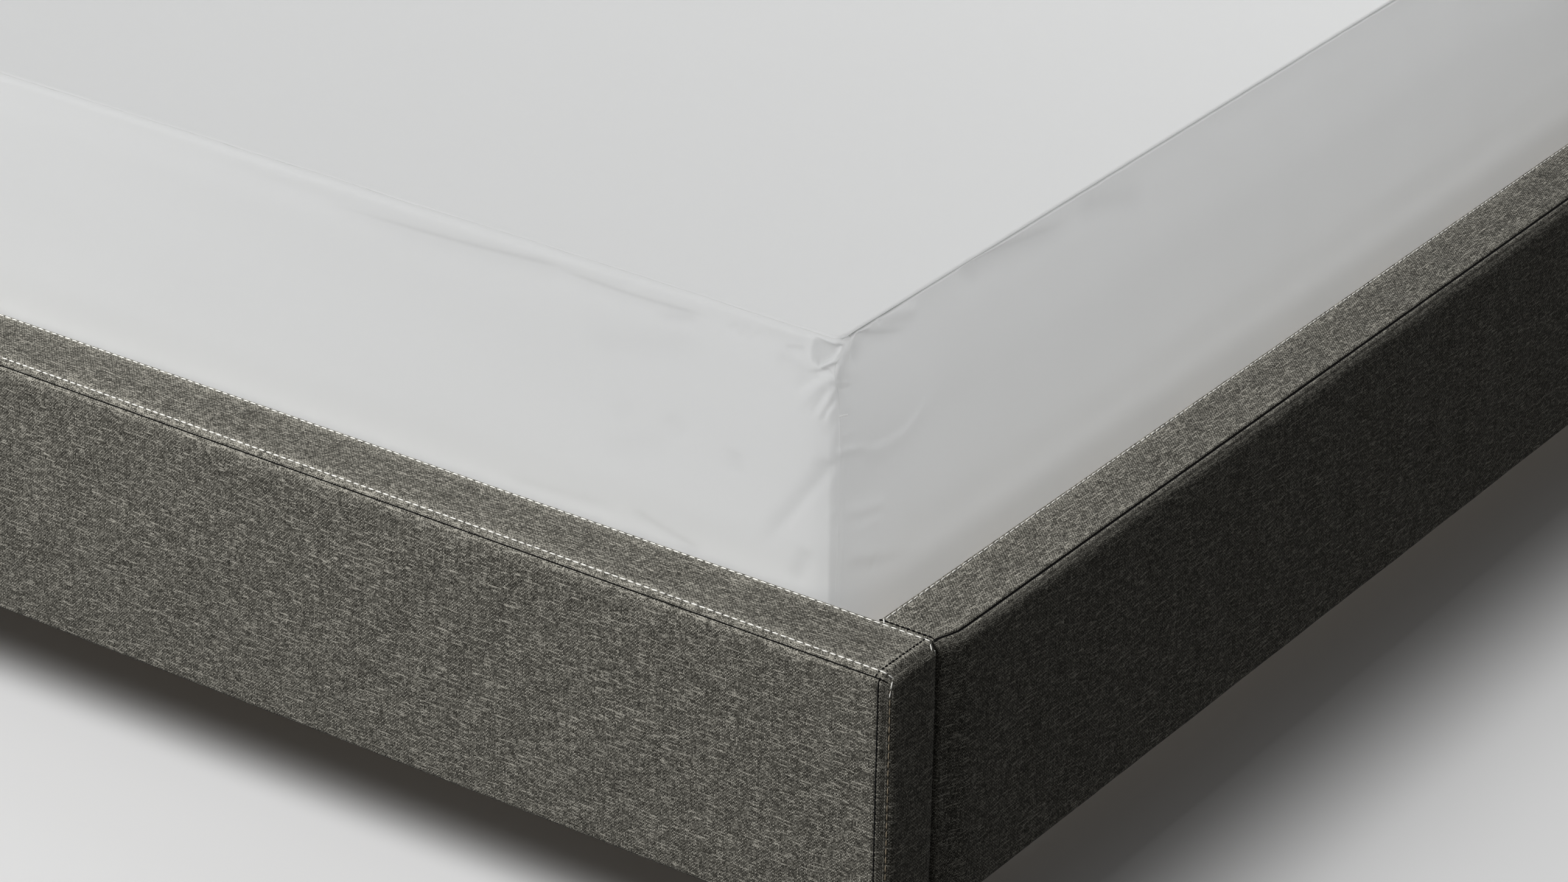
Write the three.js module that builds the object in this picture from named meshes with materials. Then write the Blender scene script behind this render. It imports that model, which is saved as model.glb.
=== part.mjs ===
// A fitted mattress protector on its mattress, in a low upholstered bed.
//
// Millimetres, +Z up. The origin is on the floor below the middle of the bed. X runs across the bed
// and Y runs along it, with the foot of the bed at -Y and the head at +Y.
//
// The protector is five cut pieces of cloth: a flat top panel and four skirts. Each skirt is sewn to
// the top panel along the mattress's upper edge and to its neighbours down the mattress's corners, and
// its hem is turned in below the mattress. The slack cloth of the skirts lies in soft folds.

import * as THREE from "three";
import { RoundedBoxGeometry } from "three/addons/geometries/RoundedBoxGeometry.js";

// ---- Driving dimensions

// Between two pieces that touch on the real bed.
const PIECE_GAP = 0.3;

const mattress = {
  width: 1520,
  length: 2030,
  height: 300,
  cornerRadius: 14, // of its four upright corners
  edgeRadius: 6, // of its upper and lower edges
};

const protector = {
  thickness: 1.5,
  standOff: 0.8, // least gap from the mattress to a skirt
  slack: 2, // how much further a skirt's side stands off where no fold lies
  seamInset: 3, // from the mattress's side in to the seam round the top panel
  turnUnder: 60, // width of the hem that lies flat below the mattress
};

const bed = {
  legHeight: 100,
  railHeight: 264,
  railEdgeRadius: 9,
  endRailThickness: 79.5, // foot and head rails, which run the whole width
  sideRailThickness: 65,
  mattressAboveRails: 245, // from the rails' top to the top of the protector
  endGap: 4.5, // from the mattress to the foot and head rails
  sideGap: 44, // from the mattress to the side rails
};

const slat = { count: 12, width: 70, thickness: 18, endPlay: 8, firstFromRail: 60 };
const ledger = { width: 25, height: 40 };
const beam = { width: 70, height: 60 };
const leg = { size: 60, inset: 12, centreDiameter: 45, centreFromMiddle: 450 };

// ---- Derived dimensions

const railInnerX = mattress.width / 2 + bed.sideGap;
const railInnerY = mattress.length / 2 + bed.endGap;
const bedHalfWidth = railInnerX + bed.sideRailThickness;
const bedHalfLength = railInnerY + bed.endRailThickness;
const railTop = bed.legHeight + bed.railHeight;
const mattressTop = railTop + bed.mattressAboveRails - protector.thickness - PIECE_GAP;
const mattressBottom = mattressTop - mattress.height;
const slatTop = mattressBottom - protector.standOff - protector.thickness - PIECE_GAP;
const slatBottom = slatTop - slat.thickness;
const carrierTop = slatBottom - PIECE_GAP;

// ---- Materials

const finish = (color, roughness, metalness = 0) =>
  new THREE.MeshStandardMaterial({ color, roughness, metalness });

const protectorCloth = finish(0xe9eaea, 0.85);
const mattressTicking = finish(0xe4e2dc, 0.9);
const greyTweed = finish(0x6b6964, 0.95);
const paleWood = finish(0xc9ad84, 0.7);
const blackWood = finish(0x1d1b19, 0.55);

// ---- Folds of the skirts
//
// A fold is a soft ridge (height above 0) or trough (below 0) along a curve on the cloth. "along" is
// measured round the mattress from a corner seam: below 0 on the skirt before the corner, going
// anticlockwise seen from above, and above 0 on the skirt after it. "drop" is measured down the cloth
// from the seam round the top panel. The curve starts at "from", bends towards "by" and ends at "to".

const COLUMNS = ["fromAlong", "fromDrop", "byAlong", "byDrop", "toAlong", "toDrop", "width", "height"];

const namedRows = (rows) =>
  rows.map((row) => Object.fromEntries(COLUMNS.map((column, index) => [column, row[index]])));

// The corner at the foot of the bed on the +X side, where the slack of both skirts gathers.
const gatheredCorner = namedRows([
  // from         by           to          width height
  [-436, 21, /**/ -350, 25, /**/ -276, 15, /**/ 8, -1.9], // long trough under the foot seam
  [-272, 19, /**/ -200, 25, /**/ -130, 17, /**/ 8, -1.9], // the same, nearer the corner
  [-21, 8, /**/ -20, 14, /**/ -12, 18, /**/ 9, -2.2], // pinched pocket beside the tongue
  [-17, 28, /**/ -4, 20, /**/ 9, 3, /**/ 6, 3.0], // gathered tongue over the corner seam
  [-28, 36, /**/ -14, 34, /**/ -4, 28, /**/ 6, -2.2], // trough under the tongue
  [-8, 38, /**/ -26, 58, /**/ -45, 92, /**/ 11, 3.0], // broad ridge slanting off the seam
  [-8, 44, /**/ -17, 56, /**/ -25, 72, /**/ 6, -1.8], // trough beside it
  [-2, 114, /**/ -30, 148, /**/ -76, 216, /**/ 13, -2.2], // long curved trough
  [-100, 126, /**/ -101, 140, /**/ -98, 154, /**/ 16, -1.4], // shallow dent
  [-355, 232, /**/ -320, 236, /**/ -285, 234, /**/ 14, -1.4], // dents where the rail crowds it
  [-213, 222, /**/ -170, 234, /**/ -136, 240, /**/ 14, -1.6],
  [-44, 238, /**/ -34, 220, /**/ -22, 204, /**/ 11, -1.6],
  [16, 4, /**/ 38, 16, /**/ 95, 28, /**/ 8, -1.9], // trough under the side seam
  [26, 2, /**/ 60, 2, /**/ 113, 14, /**/ 8, 1.6], // cloth pushed up above it
  [3, 108, /**/ 84, 132, /**/ 121, 95, /**/ 9, 2.3], // curved ridge on the side skirt
  [7, 166, /**/ 34, 174, /**/ 64, 177, /**/ 9, 1.5],
  [13, 209, /**/ 58, 226, /**/ 121, 237, /**/ 9, -1.9], // crease low on the side skirt
  [182, 8, /**/ 240, 20, /**/ 300, 24, /**/ 16, -1.6], // broad shallow trough
  [360, 20, /**/ 410, 30, /**/ 466, 39, /**/ 16, -1.4],
]);

// The other three corners are drawn in more evenly.
const plainCorner = namedRows([
  [-330, 20, /**/ -240, 28, /**/ -150, 17, /**/ 10, -1.7],
  [-6, 40, /**/ -22, 66, /**/ -52, 100, /**/ 13, 2.6],
  [-2, 112, /**/ -28, 150, /**/ -78, 208, /**/ 15, -1.9],
  [4, 100, /**/ 60, 128, /**/ 118, 102, /**/ 12, 2.0],
  [18, 206, /**/ 80, 222, /**/ 150, 234, /**/ 12, -1.7],
  [120, 18, /**/ 220, 30, /**/ 320, 20, /**/ 12, -1.6],
]);

// Where the gathered corner's seam runs: round the tongue at the top, then straight down.
const gatheredSeam = [
  { drop: 0, along: 7 },
  { drop: 18, along: -4 },
  { drop: 60, along: -2 },
  { drop: 110, along: 0 },
];

const CURVE_STEPS = 12;
const SEAM_RIDGE = { width: 3.5, height: 1.4 };

// Distance from a place on the cloth to the curve of a fold.
function distanceToFold(fold, along, drop) {
  let nearest = Infinity;
  for (let step = 0; step <= CURVE_STEPS; step += 1) {
    const t = step / CURVE_STEPS;
    const [a, b, c] = [(1 - t) ** 2, 2 * t * (1 - t), t ** 2];
    const curveAlong = a * fold.fromAlong + b * fold.byAlong + c * fold.toAlong;
    const curveDrop = a * fold.fromDrop + b * fold.byDrop + c * fold.toDrop;
    nearest = Math.min(nearest, Math.hypot(along - curveAlong, drop - curveDrop));
  }
  return nearest;
}

// Where a corner's seam lies at a drop. Only the gathered corner's leaves the middle of the corner.
function seamAlong(folds, drop) {
  if (folds !== gatheredCorner) return 0;
  const below = gatheredSeam.findIndex((row) => row.drop > drop);
  if (below < 0) return gatheredSeam.at(-1).along;
  const [upper, lower] = [gatheredSeam[below - 1], gatheredSeam[below]];
  const share = (drop - upper.drop) / (lower.drop - upper.drop);
  return THREE.MathUtils.lerp(upper.along, lower.along, share);
}

// How far the folds of one corner and its seam lift the cloth at a place near it.
function cornerRelief(folds, along, drop) {
  const fromSeam = along - seamAlong(folds, drop);
  let relief = SEAM_RIDGE.height * Math.exp(-((fromSeam / SEAM_RIDGE.width) ** 2));
  for (const fold of folds) {
    relief += fold.height * Math.exp(-((distanceToFold(fold, along, drop) / fold.width) ** 2));
  }
  return relief;
}

// ---- The skirt's section, from the top seam down the side and in under the mattress

const arcRadius = mattress.edgeRadius + protector.standOff;
const seamAngle = Math.asin((mattress.edgeRadius - protector.seamInset) / arcRadius);
const upperArc = arcRadius * (Math.PI / 2 - seamAngle);
const sideFlat = mattress.height - 2 * mattress.edgeRadius;
const lowerArc = (arcRadius * Math.PI) / 2;
const lowerArcStart = upperArc + sideFlat;
const hemStart = lowerArcStart + lowerArc;
const skirtDepth = hemStart + protector.turnUnder;

// The skirt's inner face at a drop: how far it lies outside the mattress's side plane, its height
// above the mattress's top, and its outward normal in the same two directions.
function sectionAt(drop) {
  if (drop > hemStart) {
    const out = -mattress.edgeRadius - (drop - hemStart);
    return { out, up: -mattress.height - protector.standOff, normalOut: 0, normalUp: -1 };
  }
  if (drop > upperArc && drop < lowerArcStart) {
    const up = -mattress.edgeRadius - (drop - upperArc);
    return { out: protector.standOff, up, normalOut: 1, normalUp: 0 };
  }
  const onUpperArc = drop <= upperArc;
  const centreUp = onUpperArc ? -mattress.edgeRadius : mattress.edgeRadius - mattress.height;
  const turned = onUpperArc
    ? seamAngle + drop / arcRadius
    : Math.PI / 2 + (drop - lowerArcStart) / arcRadius;
  return {
    out: -mattress.edgeRadius + arcRadius * Math.sin(turned),
    up: centreUp + arcRadius * Math.cos(turned),
    normalOut: Math.sin(turned),
    normalUp: Math.cos(turned),
  };
}

// Folds keep their height up to the top seam and die out above the rails, where the mattress fits
// closely between the foot and the head of the bed. The even slack also starts from the seam.
const SLACK_RISE = 45;
const SLACK_END = bed.mattressAboveRails - 6;
const foldShare = (drop) => 1 - THREE.MathUtils.smoothstep(drop, SLACK_END - SLACK_RISE, SLACK_END);
const slackShare = (drop) => THREE.MathUtils.smoothstep(drop, 0, SLACK_RISE) * foldShare(drop);

// ---- A skirt, modelled facing -Y and turned to its side of the mattress

const EDGE_FACETS = 3; // on a quarter turn of the mattress's rounded edges
const TIGHTEST_TURN = 6; // plan radius of the hem's corner
const FIRST_STEP = 4; // between the columns of the mesh next to a corner seam
const FINE = { growth: 1.21, reach: 440 };
const COARSE = { growth: 1.5, reach: 260 };
const MIDDLE_STEP = 120;
const LEAN_FADE = 60; // how far from a corner seam the columns lean with it

// Distances from a corner seam, in steps that grow away from it.
function growingSteps({ growth, reach }) {
  const steps = [0];
  for (let step = FIRST_STEP; steps.at(-1) < reach; step *= growth) {
    steps.push(steps.at(-1) + step);
  }
  return steps;
}

function evenSteps(start, end, count) {
  return Array.from({ length: count + 1 }, (_, index) => start + ((end - start) * index) / count);
}

// The rows of the mesh: drops at which the section is taken.
// On the mattress's rounded edges they match its own facets.
const sideRows = [5, 11, 26, 46, 70, 98, 130, 164, 198, 231];
const facetAngles = evenSteps(0, Math.PI / 2, EDGE_FACETS).slice(1);
const skirtRows = [
  0,
  ...facetAngles.map((angle) => (angle - seamAngle) * arcRadius),
  ...sideRows.map((below) => upperArc + below),
  lowerArcStart,
  ...facetAngles.map((angle) => lowerArcStart + angle * arcRadius),
  skirtDepth,
];

// Plan radius of the skirt's corners where it lies this far outside the mattress's side plane.
const planRadius = (out) => Math.max(mattress.cornerRadius + out, TIGHTEST_TURN);

// The skirt's plan at a distance along it: straight in the middle and round the corner at both ends.
function planAt(along, out, halfStraight, halfDepth) {
  const radius = planRadius(out);
  const drawnIn = radius - mattress.cornerRadius - out;
  const side = Math.sign(along);
  const past = Math.max(0, Math.abs(along) - halfStraight);
  const turned = (side * past) / mattress.cornerRadius;
  const centreX = past > 0 ? side * (halfStraight - drawnIn) : along * (1 - drawnIn / halfStraight);
  const centreY = drawnIn + mattress.cornerRadius - halfDepth;
  const [normalX, normalY] = [Math.sin(turned), -Math.cos(turned)];
  return { x: centreX + radius * normalX, y: centreY + radius * normalY, normalX, normalY };
}

function buildSkirt({ halfLength, halfDepth, startFolds, endFolds, startMesh, endMesh }) {
  const halfStraight = halfLength - mattress.cornerRadius;
  const reach = halfStraight + (mattress.cornerRadius * Math.PI) / 4;

  const fromStart = growingSteps(startMesh).map((step) => step - reach);
  const fromEnd = growingSteps(endMesh).map((step) => reach - step).reverse();
  const between = fromEnd[0] - fromStart.at(-1);
  const middle = evenSteps(fromStart.at(-1), fromEnd[0], Math.round(between / MIDDLE_STEP));
  const columns = [...fromStart, ...middle.slice(1, -1), ...fromEnd];

  // The columns next to a seam follow its lean and stop half a gap short of it, or a little more
  // since the seam slants.
  const leaned = (along, drop) => {
    const lean = seamAlong(along < 0 ? startFolds : endFolds, drop);
    const halfGap = 0.6 * PIECE_GAP * (mattress.cornerRadius / planRadius(sectionAt(drop).out));
    const nearSeam = Math.max(0, 1 - (reach - Math.abs(along)) / LEAN_FADE);
    return along + (lean - Math.sign(along) * halfGap) * nearSeam;
  };

  // The two faces of the cloth at one place on it.
  const faces = (along, drop) => {
    const { out, up, normalOut, normalUp } = sectionAt(drop);
    const { x, y, normalX, normalY } = planAt(along, out, halfStraight, halfDepth);
    const inner = new THREE.Vector3(x, y, mattressTop + up);
    const normal = new THREE.Vector3(normalX * normalOut, normalY * normalOut, normalUp);
    const startRelief = cornerRelief(startFolds, along + reach, drop);
    const endRelief = cornerRelief(endFolds, along - reach, drop);
    const lift = protector.slack * slackShare(drop) + (startRelief + endRelief) * foldShare(drop);
    inner.addScaledVector(normal, Math.max(0, lift));
    return [inner, inner.clone().addScaledVector(normal, protector.thickness)];
  };

  const inner = [];
  const outer = [];
  for (const drop of skirtRows) {
    for (const column of columns) {
      const [innerPoint, outerPoint] = faces(leaned(column, drop), drop);
      inner.push(innerPoint);
      outer.push(outerPoint);
    }
  }
  return closedSheet(inner, outer, columns.length, skirtRows.length);
}

// A closed sheet between two grids of points, stored row by row.
function closedSheet(inner, outer, width, height) {
  const indices = [];
  const quad = (a, b, c, d) => indices.push(a, b, c, a, c, d);
  const offset = inner.length;
  const at = (row, column) => row * width + column;
  for (let row = 0; row + 1 < height; row += 1) {
    for (let column = 0; column + 1 < width; column += 1) {
      const here = at(row, column);
      const below = at(row + 1, column);
      quad(here + offset, below + offset, below + 1 + offset, here + 1 + offset);
      quad(here + 1, below + 1, below, here);
    }
  }
  const rim = [];
  for (let column = 0; column + 1 < width; column += 1) rim.push(at(0, column));
  for (let row = 0; row + 1 < height; row += 1) rim.push(at(row, width - 1));
  for (let column = width - 1; column > 0; column -= 1) rim.push(at(height - 1, column));
  for (let row = height - 1; row > 0; row -= 1) rim.push(at(row, 0));
  rim.forEach((here, index) => {
    const next = rim[(index + 1) % rim.length];
    quad(here, here + offset, next + offset, next);
  });
  const geometry = new THREE.BufferGeometry().setFromPoints([...inner, ...outer]);
  geometry.setIndex(indices);
  geometry.computeVertexNormals();
  return geometry;
}

// ---- The other shapes

function roundedRectangle(width, height, radius) {
  const shape = new THREE.Shape();
  const [x, y] = [width / 2 - radius, height / 2 - radius];
  shape.absarc(x, y, radius, 0, Math.PI / 2);
  shape.absarc(-x, y, radius, Math.PI / 2, Math.PI);
  shape.absarc(-x, -y, radius, Math.PI, 1.5 * Math.PI);
  shape.absarc(x, -y, radius, 1.5 * Math.PI, 2 * Math.PI);
  return shape;
}

const CORNER_FACETS = 6; // on a quarter turn of an upright corner

function mattressGeometry() {
  const { width, length, height, cornerRadius, edgeRadius } = mattress;
  const core = roundedRectangle(width - 2 * edgeRadius, length - 2 * edgeRadius, cornerRadius - edgeRadius);
  const geometry = new THREE.ExtrudeGeometry(core, {
    depth: height - 2 * edgeRadius,
    bevelSize: edgeRadius,
    bevelThickness: edgeRadius,
    bevelSegments: EDGE_FACETS,
    curveSegments: CORNER_FACETS,
  });
  return geometry.translate(0, 0, mattressBottom + edgeRadius);
}

function topPanelGeometry() {
  const inset = protector.seamInset + 2 * PIECE_GAP; // the skirts' facets cut in at the corners
  const radius = mattress.cornerRadius - inset;
  const outline = roundedRectangle(mattress.width - 2 * inset, mattress.length - 2 * inset, radius);
  const geometry = new THREE.ExtrudeGeometry(outline, {
    depth: protector.thickness,
    bevelEnabled: false,
    curveSegments: CORNER_FACETS,
  });
  return geometry.translate(0, 0, mattressTop + PIECE_GAP);
}

const RAIL_SEGMENTS = 2;
const railGeometry = (width, length) =>
  new RoundedBoxGeometry(width, length, bed.railHeight, RAIL_SEGMENTS, bed.railEdgeRadius);

// ---- The scene graph

const part = new THREE.Group();

function add(name, geometry, material, x = 0, y = 0, z = 0) {
  const mesh = new THREE.Mesh(geometry, material);
  mesh.name = name;
  mesh.position.set(x, y, z);
  part.add(mesh);
  return mesh;
}

// The protector.
add("protector_top_panel", topPanelGeometry(), protectorCloth);

const acrossBed = { halfLength: mattress.width / 2, halfDepth: mattress.length / 2 };
const alongBed = { halfLength: mattress.length / 2, halfDepth: mattress.width / 2 };
const skirts = [
  { name: "protector_skirt_foot", ...acrossBed, startFolds: plainCorner, endFolds: gatheredCorner },
  { name: "protector_skirt_right", ...alongBed, startFolds: gatheredCorner, endFolds: plainCorner },
  { name: "protector_skirt_head", ...acrossBed, startFolds: plainCorner, endFolds: plainCorner },
  { name: "protector_skirt_left", ...alongBed, startFolds: plainCorner, endFolds: plainCorner },
];
skirts.forEach((skirt, quarterTurns) => {
  const startMesh = skirt.startFolds === gatheredCorner ? FINE : COARSE;
  const endMesh = skirt.endFolds === gatheredCorner ? FINE : COARSE;
  const mesh = add(skirt.name, buildSkirt({ ...skirt, startMesh, endMesh }), protectorCloth);
  mesh.rotation.z = (quarterTurns * Math.PI) / 2;
});

// The mattress.
add("mattress", mattressGeometry(), mattressTicking);

// The bed's rails: the foot and head rails run the whole width, and the side rails fit between them.
const railMiddle = bed.legHeight + bed.railHeight / 2;
const endRailY = railInnerY + bed.endRailThickness / 2;
const sideRailX = railInnerX + bed.sideRailThickness / 2;
const sideRailLength = 2 * (railInnerY - PIECE_GAP);
for (const [end, side] of [["foot", -1], ["head", 1]]) {
  const geometry = railGeometry(2 * bedHalfWidth, bed.endRailThickness);
  add(`${end}_rail`, geometry, greyTweed, 0, side * endRailY, railMiddle);
}
for (const [hand, side] of [["left", -1], ["right", 1]]) {
  const geometry = railGeometry(bed.sideRailThickness, sideRailLength);
  add(`side_rail_${hand}`, geometry, greyTweed, side * sideRailX, 0, railMiddle);
}

// The slats lie on a ledger inside each side rail and on a beam down the middle.
for (const [hand, side] of [["left", -1], ["right", 1]]) {
  const geometry = new THREE.BoxGeometry(ledger.width, sideRailLength, ledger.height);
  const x = side * (railInnerX - PIECE_GAP - ledger.width / 2);
  add(`ledger_${hand}`, geometry, paleWood, x, 0, carrierTop - ledger.height / 2);
}
const beamGeometry = new THREE.BoxGeometry(beam.width, sideRailLength, beam.height);
add("centre_beam", beamGeometry, paleWood, 0, 0, carrierTop - beam.height / 2);

const firstSlatY = -railInnerY + slat.firstFromRail;
for (let index = 0; index < slat.count; index += 1) {
  const geometry = new THREE.BoxGeometry(2 * (railInnerX - slat.endPlay), slat.width, slat.thickness);
  const y = THREE.MathUtils.lerp(firstSlatY, -firstSlatY, index / (slat.count - 1));
  add(`slat_${index + 1}`, geometry, paleWood, 0, y, slatTop - slat.thickness / 2);
}

// Square legs stand under the ends of the foot and head rails, and round ones under the beam.
const cornerLegHeight = bed.legHeight - PIECE_GAP;
for (const [end, endSide] of [["foot", -1], ["head", 1]]) {
  for (const [hand, side] of [["left", -1], ["right", 1]]) {
    const geometry = new THREE.BoxGeometry(leg.size, leg.size, cornerLegHeight);
    const x = side * (bedHalfWidth - leg.inset - leg.size / 2);
    const y = endSide * (bedHalfLength - leg.inset - leg.size / 2);
    add(`leg_${end}_${hand}`, geometry, blackWood, x, y, cornerLegHeight / 2);
  }
}
const centreLegHeight = carrierTop - beam.height - PIECE_GAP;
for (const [end, side] of [["foot", -1], ["head", 1]]) {
  const radius = leg.centreDiameter / 2;
  const geometry = new THREE.CylinderGeometry(radius, radius, centreLegHeight, 16).rotateX(Math.PI / 2);
  add(`centre_leg_${end}`, geometry, blackWood, 0, side * leg.centreFromMiddle, centreLegHeight / 2);
}

export default part;
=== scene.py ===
"""Looks of a fitted mattress protector on its mattress, in a low upholstered bed.

Metres, +Z up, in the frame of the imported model: the foot of the bed is at -Y and its head at +Y.
The cloth of the skirts is laid out in its own coordinates. "along" is measured round the mattress
from a corner seam, below 0 on the skirt before the corner, going anticlockwise seen from above.
"drop" is measured down the cloth from where the mattress's top starts to round over.
"""

from __future__ import annotations

import logging
import math
from dataclasses import dataclass, field
from enum import Enum
from typing import Iterable, Mapping, Sequence

import bmesh
import bpy
import numpy as np
from bpy.types import Collection, Node, NodeSocket, NodeTree, Object
from mathutils import Matrix, Vector
from mathutils.kdtree import KDTree


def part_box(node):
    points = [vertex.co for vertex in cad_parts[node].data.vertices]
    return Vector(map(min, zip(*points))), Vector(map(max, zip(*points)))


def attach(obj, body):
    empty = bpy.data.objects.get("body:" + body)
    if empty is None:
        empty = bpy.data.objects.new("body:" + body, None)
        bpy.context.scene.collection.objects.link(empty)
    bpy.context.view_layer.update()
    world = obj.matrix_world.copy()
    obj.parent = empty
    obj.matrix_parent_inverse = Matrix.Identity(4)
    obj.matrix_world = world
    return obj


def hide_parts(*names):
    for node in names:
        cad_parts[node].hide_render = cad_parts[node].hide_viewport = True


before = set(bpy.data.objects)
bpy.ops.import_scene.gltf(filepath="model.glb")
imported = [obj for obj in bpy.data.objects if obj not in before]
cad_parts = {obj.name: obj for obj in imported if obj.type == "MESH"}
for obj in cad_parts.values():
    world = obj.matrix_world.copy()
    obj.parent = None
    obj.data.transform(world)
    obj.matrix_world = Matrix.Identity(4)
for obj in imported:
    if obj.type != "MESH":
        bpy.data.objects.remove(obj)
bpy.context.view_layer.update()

log = logging.getLogger("bed")
Array = np.ndarray
Colour = tuple[float, float, float]
MM = 0.001


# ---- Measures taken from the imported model


@dataclass(frozen=True)
class Box:
    """The lowest and highest corners of a node, in metres."""

    low: Vector
    high: Vector

    @classmethod
    def of(cls, node: str) -> "Box":
        """Reads a node's box from the frame."""
        low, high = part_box(node)
        return cls(low, high)

    @property
    def size(self) -> Vector:
        """Width, depth and height."""
        return self.high - self.low

    @property
    def centre(self) -> Vector:
        """The middle of the box."""
        return (self.low + self.high) / 2


# ---- Meshes


def linked(name: str, data: bpy.types.ID) -> Object:
    """Puts a new object with its data into the scene."""
    made = bpy.data.objects.new(name, data)
    bpy.context.scene.collection.objects.link(made)
    return made


def mesh_object(
    name: str,
    points: Array,
    faces: Sequence[Sequence[int]],
    uv: Array | None = None,
    values: Mapping[str, Array] | None = None,
) -> Object:
    """Makes a smooth-shaded mesh object at the origin.

    Args:
        name: The object's name.
        points: Vertex places, one row each.
        faces: Vertex numbers of each face.
        uv: A flat place in metres for each vertex, or for each corner of each face.
        values: Named numbers for each vertex, which materials read as attributes.

    Returns:
        The new object, linked to the scene.
    """
    mesh = bpy.data.meshes.new(name)
    mesh.from_pydata(points.tolist(), [], [list(map(int, face)) for face in faces])
    if uv is not None:
        flat = np.asarray(uv, dtype=np.float32)
        if len(flat) != len(mesh.loops):
            corners = np.empty(len(mesh.loops), dtype=np.int32)
            mesh.loops.foreach_get("vertex_index", corners)
            flat = flat[corners]
        mesh.uv_layers.new(name="UVMap").data.foreach_set("uv", flat.ravel())
    for attribute_name, numbers in (values or {}).items():
        attribute = mesh.attributes.new(attribute_name, "FLOAT", "POINT")
        attribute.data.foreach_set("value", np.asarray(numbers, dtype=np.float32).ravel())
    mesh.shade_smooth()
    mesh.validate()
    return linked(name, mesh)


def grid_quads(rows: int, columns: int, offset: int = 0) -> Array:
    """Lists the quads of a grid whose vertices are stored row by row.

    Args:
        rows: How many rows of vertices there are.
        columns: How many vertices a row has.
        offset: The number of the first vertex.

    Returns:
        Four vertex numbers for each quad.
    """
    grid = np.arange(rows - 1)[:, None] * columns + np.arange(columns - 1)[None, :]
    here = grid.ravel() + offset
    return np.stack([here, here + columns, here + columns + 1, here + 1], axis=-1)


def closed_sheet(
    name: str, outer: Array, inner: Array, uv: Array, values: Mapping[str, Array] | None = None
) -> Object:
    """Makes a thin closed sheet of cloth between two grids of points.

    Args:
        name: The object's name.
        outer: The face that shows, with shape (rows, columns, 3).
        inner: The face behind it, with the same shape.
        uv: The place of each point on the flat cloth, with shape (rows, columns, 2).
        values: Named numbers for each point, with shape (rows, columns).

    Returns:
        The sheet.
    """
    rows, columns, _ = outer.shape
    count = rows * columns
    front = grid_quads(rows, columns)
    back = grid_quads(rows, columns, count)[:, ::-1]
    numbers = np.arange(count).reshape(rows, columns)
    rim = np.concatenate(
        [numbers[0, :-1], numbers[:-1, -1], numbers[-1, :0:-1], numbers[:0:-1, 0]]
    )
    following = np.roll(rim, -1)
    edge = np.stack([rim, following, following + count, rim + count], axis=-1)
    points = np.concatenate([outer.reshape(-1, 3), inner.reshape(-1, 3)])
    both = {key: np.tile(each.ravel(), 2) for key, each in (values or {}).items()}
    faces = np.concatenate([front, back, edge])
    sheet = mesh_object(name, points, faces, np.tile(uv.reshape(-1, 2), (2, 1)), both)
    flat = np.arange(len(faces)) >= len(front) + len(back)
    sheet.data.attributes.new("sharp_face", "BOOLEAN", "FACE").data.foreach_set("value", flat)
    return sheet


def smooth_step(value: Array | float, start: float, end: float) -> Array:
    """Rises smoothly from 0 where the value is at start to 1 where it is at end."""
    share = np.clip((np.asarray(value, dtype=float) - start) / (end - start), 0.0, 1.0)
    return share * share * (3.0 - 2.0 * share)


def bell(distance: Array | float, width: float | Array, power: float = 2.0) -> Array:
    """A bell, 1 at distance 0 and about a third at its width; a power near 1 makes it sharp."""
    return np.exp(-((np.abs(distance) / width) ** power))


def growing(first: float, last: float, reach: float, growth: float) -> Array:
    """Distances from 0 in steps that grow from first to last.

    Args:
        first: The first step.
        last: The longest step.
        reach: The distances stop after this one.
        growth: How much longer each step is than the one before it.

    Returns:
        The distances, which start with 0.
    """
    places, step = [0.0], first
    while places[-1] < reach:
        places.append(places[-1] + step)
        step = min(step * growth, last)
    return np.array(places)


# ---- Nodes


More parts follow.
